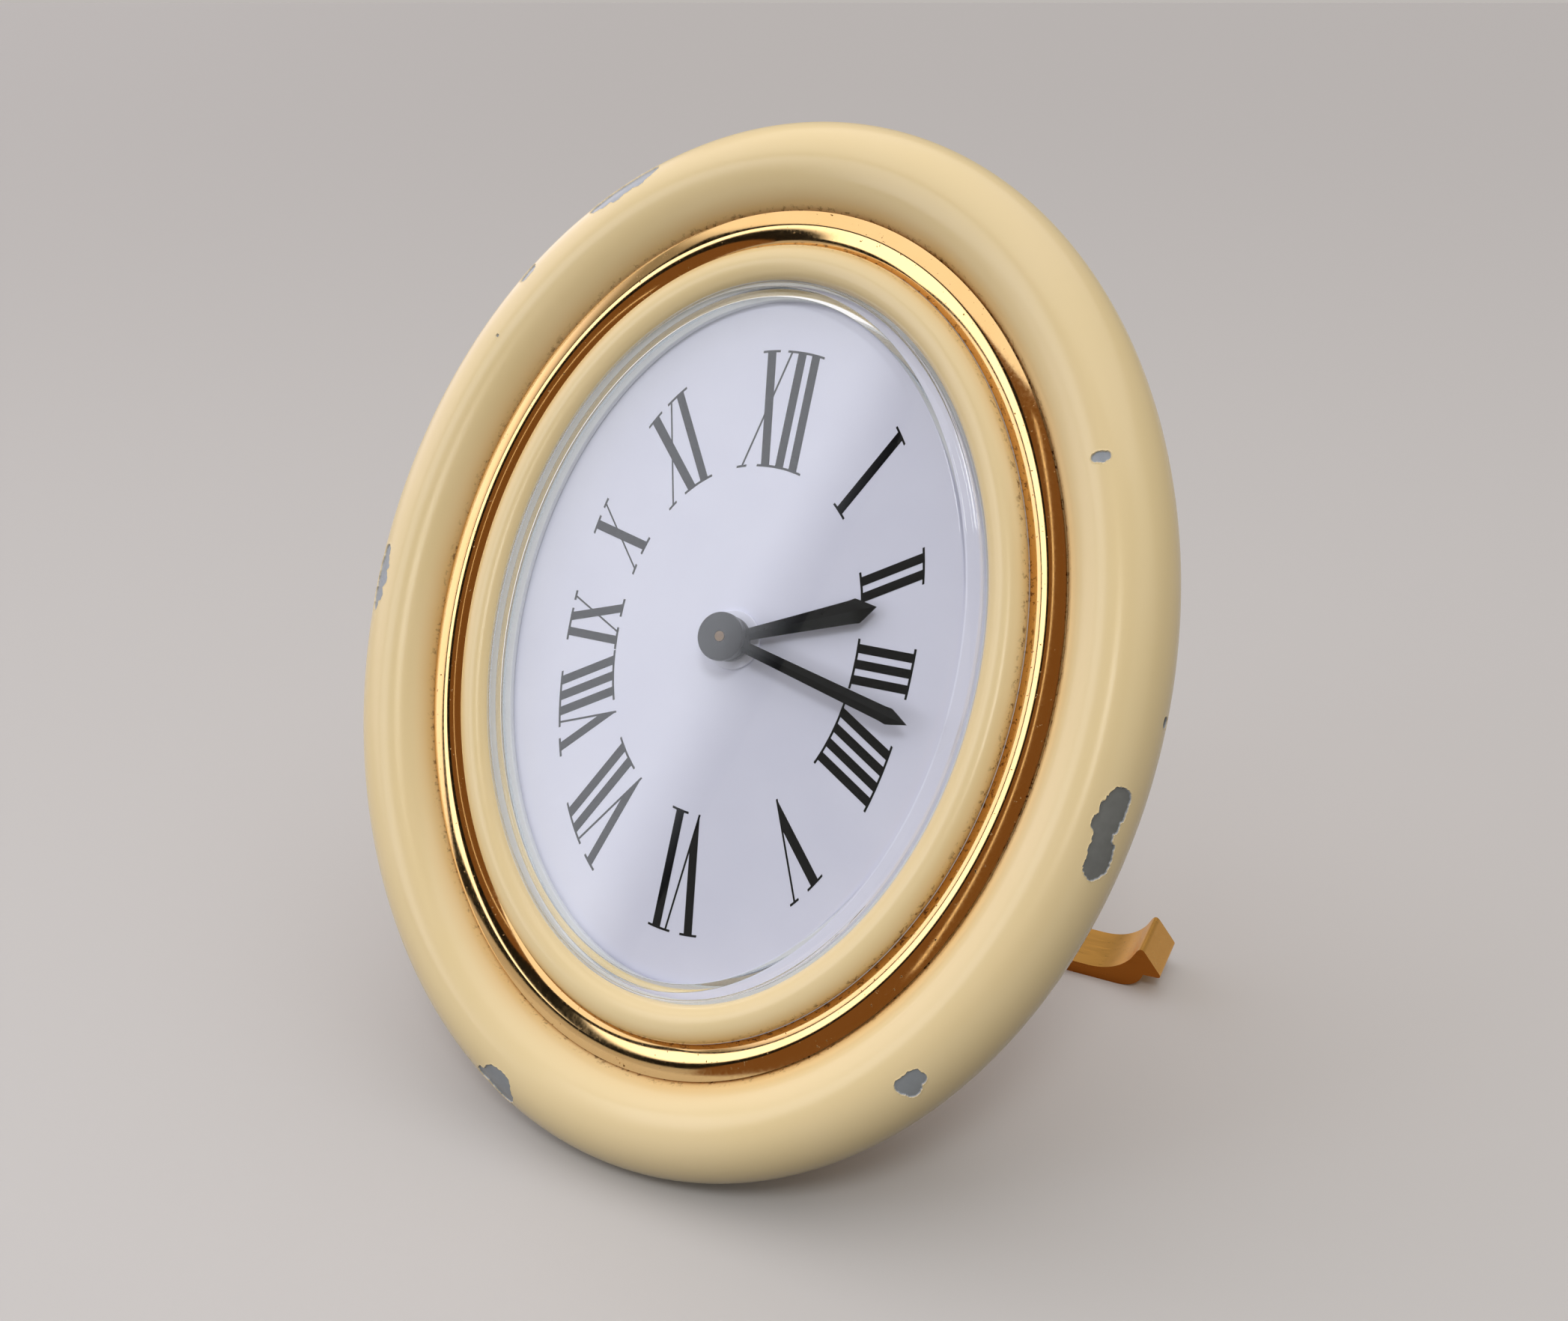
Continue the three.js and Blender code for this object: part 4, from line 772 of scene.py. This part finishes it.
def rearPan():
    outer, inner, edge, back, inside = [rear[name] for name in ("outer", "inner", "edge", "back", "inside")]
    middle = inner + rear["floorReach"]
    profile = [
        (middle, back, 0), (outer, back, 1.0),
        (outer, rear["flangeBack"], 0.35), (edge, rear["flangeBack"], 0.25),
        (edge, rear["flangeTop"], 0.1), (inner, rear["flangeTop"], 0.1),
        (inner, inside, 0.5), (middle, inside, 0),
    ]
    pan = tool(ovalDish(rounded(profile, closed=False), 240))
    low, high = back - 1, inside + 1
    lugReach, lugWide = rear["lugHole"]
    cuts = [
        rodTool(rear["hatchHole"], low, high, *hatch["place"], 96),
        boxTool(-lugReach, lugReach, -lugWide, lugWide, low, high, 45, *hatch["place"]),
        rodTool(rear["shaftHole"], low, high, *knob["place"]),
    ]
    for angle in rear["screwAngles"]:
        x, y = ovalPoint(rear["screwInset"], math.radians(angle))
        cuts.append(rodTool(rear["screwHole"], rear["flangeBack"] - 1, rear["flangeTop"] + 1, x, y, 24))
    cuts += [rodTool(rear["screwHole"], low, high, x, y, 24) for x, y in rear["bracketScrews"]]
    for cut in cuts:
        combine(pan, cut, "DIFFERENCE")
    return soften(pan, 0.12)


def slottedScrew(x, y, face, reach):
    # pan head towards the back, with a driver slot
    head, shank, seat = screwSize["head"], screwSize["shank"], face - screwSize["proud"]
    rim = seat - screwSize["rim"]
    crown = rim - screwSize["dome"]
    end = face + reach
    profile = [(shank - 0.1, end), (shank, end - 0.1), (shank, seat), (head, seat), (head, rim)]
    profile += [(head * math.cos(a), rim - screwSize["dome"] * math.sin(a)) for a in (0.35, 0.7, 1.05, 1.3)]
    profile.append((screwSize["flat"], crown))
    screw = tool(turnedSolid(profile, 48, x, y))
    long, wide, deep = screwSize["slot"]
    slot = boxTool(-long, long, -wide, wide, crown - 1, crown + deep, screwSize["turn"], x, y)
    return soften(combine(screw, slot, "DIFFERENCE"), 0.04, segments=2)


addPiece("rear_cover_fine", rearPan(), "brushed_gilt", "case", ["rear_cover"])
for i, angle in enumerate(rear["screwAngles"]):
    x, y = ovalPoint(rear["screwInset"], math.radians(angle))
    screw = slottedScrew(x, y, rear["flangeBack"], 2.9)
    addPiece(f"rear_screw_{i + 1}_fine", screw, "brushed_gilt", "case", [f"rear_screw_{i + 1}"])


def hatchDisc():
    x, y = hatch["place"]
    radius, inside, middle = hatch["radius"], hatch["inside"], hatch["middle"]
    outer, neck = rear["back"] + hatch["proud"], radius - hatch["step"]
    rim = outer + hatch["rim"]
    profile = rounded([
        (middle, outer, 0), (radius, outer, 0.25), (radius, rim, 0.1),
        (neck, rim, 0), (neck, inside, 0.1), (middle, inside, 0),
    ], closed=False)
    disc = tool(turnedSolid(profile, 128, x, y))
    long, wide, deep = hatch["lug"]
    combine(disc, boxTool(-long, long, -wide, wide, inside - deep, inside, 0, x, y), "UNION")
    long, wide, deep = hatch["slot"]
    combine(disc, boxTool(-long, long, -wide, wide, outer - 1, outer + deep, 0, x, y), "DIFFERENCE")
    # two shallow turned grooves round the disc
    wide, deep = hatch["groove"]
    for start in hatch["grooves"]:
        grooveEdge = [(start, outer - 0.2), (start + wide, outer - 0.2), (start + wide / 2, outer + deep)]
        combine(disc, tool(turnedRing(grooveEdge, 128, x, y)), "DIFFERENCE")
    return soften(disc, 0.06, segments=2)


def flutedKnob():
    x, y = knob["place"]
    r, top, low = knob["radius"], knob["top"], knob["low"]
    # rows from the case outwards: radius, height, depth of the flutes
    rows = [
        (r - 0.25, top, 0.2), (r, top - 0.25, 0.35), (r, low + 0.35, 0.35), (r - 0.1, low + 0.12, 0.33),
        (r - 0.35, low, 0.2), (r - 0.8, low, 0.05), (r - 1.0, low + 0.18, 0), (0.3, low + 0.22, 0),
    ]
    loops = []
    for radius, height, depth in rows:
        loop = []
        for a in roundAngles(knob["flutes"] * knob["perFlute"]):
            here = radius - depth * (0.5 - 0.5 * math.cos(knob["flutes"] * a)) ** 2
            loop.append((x + here * math.cos(a), y + here * math.sin(a), height))
        loops.append(loop)
    bore = rodTool(knob["bore"], knob["boreEnd"], knob["boreStart"], x, y, 32)
    return combine(tool(skin(loops)), bore, "DIFFERENCE")


addPiece("battery_hatch_fine", hatchDisc(), "brushed_gilt", "hatch_group", ["battery_hatch"])
addPiece("set_knob_fine", flutedKnob(), "brushed_gilt", "setting_group", ["set_knob"], sharp=40)

hinge = {
    "y": -27.53, "z": -15.4, "barrel": 1.6, "pin": 0.8, "clear": 0.05, "inner": 6.0, "outer": 9.0,
    "plate": (-12.65, -13.65), "plateBelow": 4, "plateAbove": 6.5,
}


def crossRod(radius, left, right, steps=48):
    # a rod along the hinge, with eased ends
    ease = min(0.12, radius / 6)
    stations = [(left, radius - ease), (left + ease, radius), (right - ease, radius), (right, radius - ease)]
    spokes = [(math.cos(a), math.sin(a)) for a in roundAngles(steps)]
    rows = [[(x, hinge["y"] + r * c, hinge["z"] + r * s) for c, s in spokes] for x, r in stations]
    return tool(skin(rows))


def bracketShape():
    high, low = hinge["plate"]
    wide, y, ear = hinge["outer"], hinge["y"], hinge["barrel"]
    bottom, top = y - hinge["plateBelow"], y + hinge["plateAbove"]
    corner = rounded([(-wide, bottom, 1.2), (wide, bottom, 1.2), (wide, top, 1.8), (-wide, top, 1.8)], arc=8)
    bracket = tool(skin([[(px, py, h) for px, py in corner] for h in (low, high)]))
    for side in (-1, 1):
        left, right = sorted((side * hinge["inner"], side * hinge["outer"]))
        combine(bracket, boxTool(left, right, y - ear, y + ear, hinge["z"], low + 0.5), "UNION")
        combine(bracket, crossRod(ear, left, right), "UNION")
    combine(bracket, crossRod(hinge["pin"] + hinge["clear"], -wide - 1, wide + 1), "DIFFERENCE")
    for px, py in rear["bracketScrews"]:
        combine(bracket, rodTool(rear["screwHole"], low - 1, high + 1, px, py, 24), "DIFFERENCE")
    return soften(bracket, 0.12)


addPiece("hinge_bracket_fine", bracketShape(), "brushed_gilt", "case", ["hinge_bracket"])
for i, (x, y) in enumerate(rear["bracketScrews"]):
    screw = slottedScrew(x, y, hinge["plate"][1], 2.5)
    addPiece(f"bracket_screw_{i + 1}_fine", screw, "brushed_gilt", "case", [f"bracket_screw_{i + 1}"])
pin = crossRod(hinge["pin"], -hinge["outer"], hinge["outer"])
addPiece("hinge_pin_fine", pin, "steel", "case", ["hinge_pin"])
print("case back made")

# Stand: barrel, waisted stem and a bar along the floor whose ends turn up; drawn from the hinge, level
stand = {
    "floor": -8.529, "front": 21.68, "depth": 6.4, "half": 35.1, "thick": 1.3, "flare": 4.7, "crest": 4.95,
    "crestInset": 2.4, "tip": 1.9, "stemThick": 1.8, "stemBend": 0.62, "waist": 7.0, "stemWide": 15.0,
    "barrelWide": 11.4, "heel": 3.2, "heelTop": -13.8,
}


def bezier(points, t):
    row = [Vector(p) for p in points]
    while len(row) > 1:
        row = [a.lerp(b, t) for a, b in zip(row, row[1:])]
    return row[0]


def footOutline():
    end, flare, thick = stand["half"], stand["flare"], stand["thick"]
    under = [(end - flare, 0), (end - flare / 2, 0), (end - flare * 0.4, stand["tip"] * 0.95)]
    crest = (end - stand["crestInset"], stand["crest"])
    over = [crest, (end - flare * 0.8, thick), (end - flare * 1.6, thick)]
    corners = [(*bezier(under, k / 12), 0) for k in range(13)]
    corners += [(end, stand["tip"], 0.3), (*crest, 0.5)]
    corners += [(*bezier(over, k / 24), 0) for k in range(6, 25)]
    line = rounded(corners, arc=6, closed=False)
    return line + [(-x, z) for x, z in reversed(line)]


def standShape():
    floor, near, depth, thick = stand["floor"], stand["front"], stand["depth"], stand["stemThick"]
    outline = footOutline()
    bar = tool(skin([[(x, y, floor + z) for x, z in outline] for y in (near, near + depth)]), hingePlace)
    # stem: a strip that leaves the barrel, narrows to a waist and spreads into the bar
    low = floor + thick / 2
    path = [(0, 0), (near * stand["stemBend"], low), (near + depth / 2, low)]
    sides = [(stand[name] / 2, 0) for name in ("barrelWide", "waist", "waist", "stemWide")]
    rows = []
    for k in range(33):
        t = k / 32
        p = bezier(path, t)
        ahead = (bezier(path, min(1, t + 0.01)) - bezier(path, max(0, t - 0.01))).normalized()
        side = Vector((-ahead.y, ahead.x)) * thick / 2
        half = bezier(sides, min(1, t * 1.08)).x
        edge = rounded([(-half, -1, 0.3), (half, -1, 0.3), (half, 1, 0.3), (-half, 1, 0.3)], arc=4)
        rows.append([(x, p.x + side.x * h, p.y + side.y * h) for x, h in edge])
    combine(bar, tool(skin(rows), hingePlace), "UNION")
    wide, top = stand["barrelWide"] / 2, stand["heelTop"]
    combine(bar, crossRod(hinge["barrel"], -wide, wide), "UNION")
    combine(bar, boxTool(-wide, wide, hinge["y"] - stand["heel"], hinge["y"], top - thick, top), "UNION")
    combine(bar, crossRod(hinge["pin"] + hinge["clear"], -wide - 1, wide + 1), "DIFFERENCE")
    soften(bar, 0.14, angle=40)
    # painted shade: the bar's front and back are painted darker, standing in for the dark floor that they mirror
    towards = hingePlace.inverted()
    shadedFlank = []
    for face in bar.data.polygons:
        facing = towards.to_3x3() @ face.normal
        onBar = (towards @ face.center).y > near - 0.1
        shadedFlank.append(1.0 if onBar and abs(facing.y) > 0.7 * facing.length else 0.0)
    bar.data.attributes.new("shadedFlank", "FLOAT", "FACE").data.foreach_set("value", shadedFlank)
    return bar


addPiece("stand_leg_fine", standShape(), "brushed_gilt", "stand_group", ["stand_leg"])
print("stand made")

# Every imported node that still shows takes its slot's finish
slots = {part["node"]: part["material_slot"] for part in frame["record"]["subparts"]}
for name, obj in frame["nodes"].items():
    for place in obj.material_slots:
        place.material = finishes[slots[name]]
# the end of the arbor shows in the middle of the hands, dull with age
frame["nodes"]["centre_arbor"].material_slots[0].material = tarnish

# Studio: a plain pale floor in a pale room, and what the gilt and the crystal show of it.
# Places are in the dial's millimetres, except the lamps that light the whole clock
studio = {
    "floorSeen": "#c6c5c3", "floorBounce": "#474031", "floorSize": 400.0,  # in metres
    # pale walls, a bright one at the left, a bright ceiling
    "room": {
        "walls": "#76726c", "left": "#f3ecf4", "ceiling": "#dad5d4", "horizon": "#979390", "strength": 1.67,
    },
    # a large window panel at the front left
    "panel": {
        "place": (-211, 12, 324), "turn": -1, "width": 137, "height": 290,
        "softRight": 26, "softLeft": 6, "colour": "#f6f7ff", "strength": 2.1,
    },
    # how far the black board behind it stands out
    "board": {"left": 22, "right": 70, "rise": 46, "behind": 10},
    "slit": {"place": (0, 10, 389), "width": 10, "height": 300, "strength": 1.0, "colour": "#ffe9cc"},
    # cards at the front right, which only the gilt and the gloss show
    "cards": {
        "brown_card": {"place": (108, -94, 583), "size": (735, 840), "colour": "#75502a"},
        "pale_card": {"place": (530, 0, 282), "size": (440, 700), "colour": "#d8d0c6"},
    },
    # lamps: size in metres, power in watts; those with a spread draw soft streaks along the lacquer
    "lamps": {
        "key": {"place": (0.18, -0.37, 0.56), "size": (0.14, 0.14), "power": 0.86},
        "fill": {"place": (-0.12, -0.42, 0.05), "size": (0.3, 0.08), "power": 0.12},
        "stripLeft": {
            "place": (-4, 15, 400), "aim": (-33, 0, 0), "spread": 20, "size": (0.16, 0.4), "power": 0.018,
        },
        "stripRight": {
            "place": (312, 210, 215), "aim": (35, 12, 4), "spread": 60, "size": (0.2, 0.2), "power": 0.004,
        },
    },
}


def matt(name, **sockets):
    # plain matt paper or card, black unless it is told otherwise
    finish, add = startFinish(name)
    named = {key.replace("_", " "): value for key, value in sockets.items()}
    card = add("BsdfPrincipled", {"Base Color": "#000000", "Roughness": 0.9, **named})
    add("OutputMaterial", [card])
    return finish


def stageSheet(name, size, place, finish, unseenBy=()):
    # a flat sheet of card or cloth, cut into a grid; size in millimetres
    mesh = bpy.data.meshes.new(name)
    bm = bmesh.new()
    bmesh.ops.create_grid(bm, x_segments=12, y_segments=12, size=0.5)
    bmesh.ops.scale(bm, vec=(size[0] * mm, size[1] * mm, 1), verts=bm.verts)
    bm.to_mesh(mesh)
    bm.free()
    obj = bpy.data.objects.new(name, mesh)
    obj.matrix_world = place
    obj.data.materials.append(finish)
    for kind in unseenBy:
        setattr(obj, "visible_" + kind, False)
    scene.collection.objects.link(obj)
    return obj


def facingDial(place, turn=0.0, aim=(0, 0, 0)):
    at = dialPlace @ Vector(place)
    facing = (dialPlace @ Vector(aim) - at).to_track_quat("Z", "Y").to_matrix().to_4x4()
    return Matrix.Translation(at) @ facing @ Matrix.Rotation(math.radians(turn), 4, "Z")


# seen and mirrored the floor is pale; the light that it throws back on the clock is that of a greyer paper
floorFinish, add = startFinish("studio_floor")
rays = add("LightPath").node.outputs
seen = add("Math", [rays["Is Camera Ray"], rays["Is Glossy Ray"]], operation="MAXIMUM")
seen = add("Math", [seen, rays["Is Transmission Ray"]], operation="MAXIMUM")
colour = add("Mix", {0: seen, 6: studio["floorBounce"], 7: studio["floorSeen"]}, **byColour)
paper = add("BsdfPrincipled", {"Base Color": colour, "Roughness": 0.85})
add("OutputMaterial", [paper])
stageSheet("floor", [studio["floorSize"] / mm] * 2, Matrix.Identity(4), floorFinish)

# the panel is bright in its middle and fades to its edges, as a cloth over a lamp does
panel = studio["panel"]
panelFinish, add = startFinish("window_panel")
across = add("SeparateXYZ", [add("TexCoord", out="Generated")])
upwards = across.node.outputs["Y"]
upDown = add("Math", [upwards, 0.5], operation="SUBTRACT")
upDown = add("Math", [upDown], operation="ABSOLUTE")
fades = [
    (across, 0.0, panel["softRight"] / panel["width"]),
    (across, 1.0, 1 - panel["softLeft"] / panel["width"]),
    (upDown, 0.5, 0.45),
]
glow = panel["strength"]
for fade in fades:
    share = add("MapRange", fade, interpolation_type="SMOOTHSTEP")
    glow = add("Math", [glow, share], operation="MULTIPLY")
cloth = add("Emission", {"Color": panel["colour"], "Strength": glow})
add("OutputMaterial", [cloth])
panelAt = facingDial(panel["place"], panel["turn"])
stageSheet("window_panel", (panel["width"], panel["height"]), panelAt, panelFinish, ["camera"])

# a black board behind the panel gives the polished gilt its dark lines
onlyGloss = ("camera", "shadow", "diffuse", "transmission")
edges = studio["board"]
boardSize = (panel["width"] + edges["left"] + edges["right"], panel["height"] + 2 * edges["rise"])
boardShift = Vector(((edges["left"] - edges["right"]) / 2, 0, -edges["behind"])) * mm
boardAt = panelAt @ Matrix.Translation(boardShift)
stageSheet("black_board", boardSize, boardAt, matt("black_board", Base_Color="#0a0a0a"), onlyGloss)
# beyond the board a narrow warm slit of light draws thin lines along the gilt and the lacquer
slit = studio["slit"]
slitFinish = matt("light_slit", Emission_Color=slit["colour"], Emission_Strength=slit["strength"])
stageSheet("light_slit", (slit["width"], slit["height"]), facingDial(slit["place"]), slitFinish, ["camera"])
for name, card in studio["cards"].items():
    cardFinish = matt(name, Emission_Color=card["colour"], Emission_Strength=1.0)
    stageSheet(name, card["size"], facingDial(card["place"]), cardFinish, onlyGloss)

lacquered = bpy.data.collections.new("lacquered")
for name in ("case_frame_fine", "inner_bezel_fine"):
    lacquered.objects.link(bpy.data.objects[name])
clockMiddle = Vector((0, 0, 0.04))
for name, values in studio["lamps"].items():
    lamp = bpy.data.lights.new(name, "AREA")
    lamp.shape = "RECTANGLE"
    lamp.size, lamp.size_y = values["size"]
    lamp.energy = values["power"]
    light = bpy.data.objects.new(name, lamp)
    scene.collection.objects.link(light)
    if "spread" in values:
        light.matrix_world = facingDial(values["place"], aim=values["aim"]) @ Matrix.Rotation(math.pi, 4, "Y")
        lamp.spread = math.radians(values["spread"])
        light.light_linking.receiver_collection = lacquered
        light.visible_diffuse = False
    else:
        light.location = values["place"]
        light.rotation_euler = (clockMiddle - light.location).to_track_quat("-Z", "Y").to_euler()
        light.visible_glossy = False  # it does not show in the gilt, only the panel and the room do

world = bpy.data.worlds.new("studio_room")
world.use_nodes = True
world.node_tree.nodes.clear()
add = partial(addNode, world.node_tree)
room = studio["room"]
sideways = add("SeparateXYZ", [add("TexCoord", out="Generated")])
upwards = sideways.node.outputs["Z"]
colour = room["walls"]
ramps = {"left": (sideways, -0.64, -0.74), "horizon": (upwards, 0.12, 0.01), "ceiling": (upwards, 0.7, 0.745)}
for tone, ramp in ramps.items():
    share = add("MapRange", ramp)
    colour = add("Mix", {0: share, 6: colour, 7: room[tone]}, **byColour)
air = add("Background", {"Color": colour, "Strength": room["strength"]})
add("OutputWorld", [air])
scene.world = world
print("studio made")

bpy.context.view_layer.update()
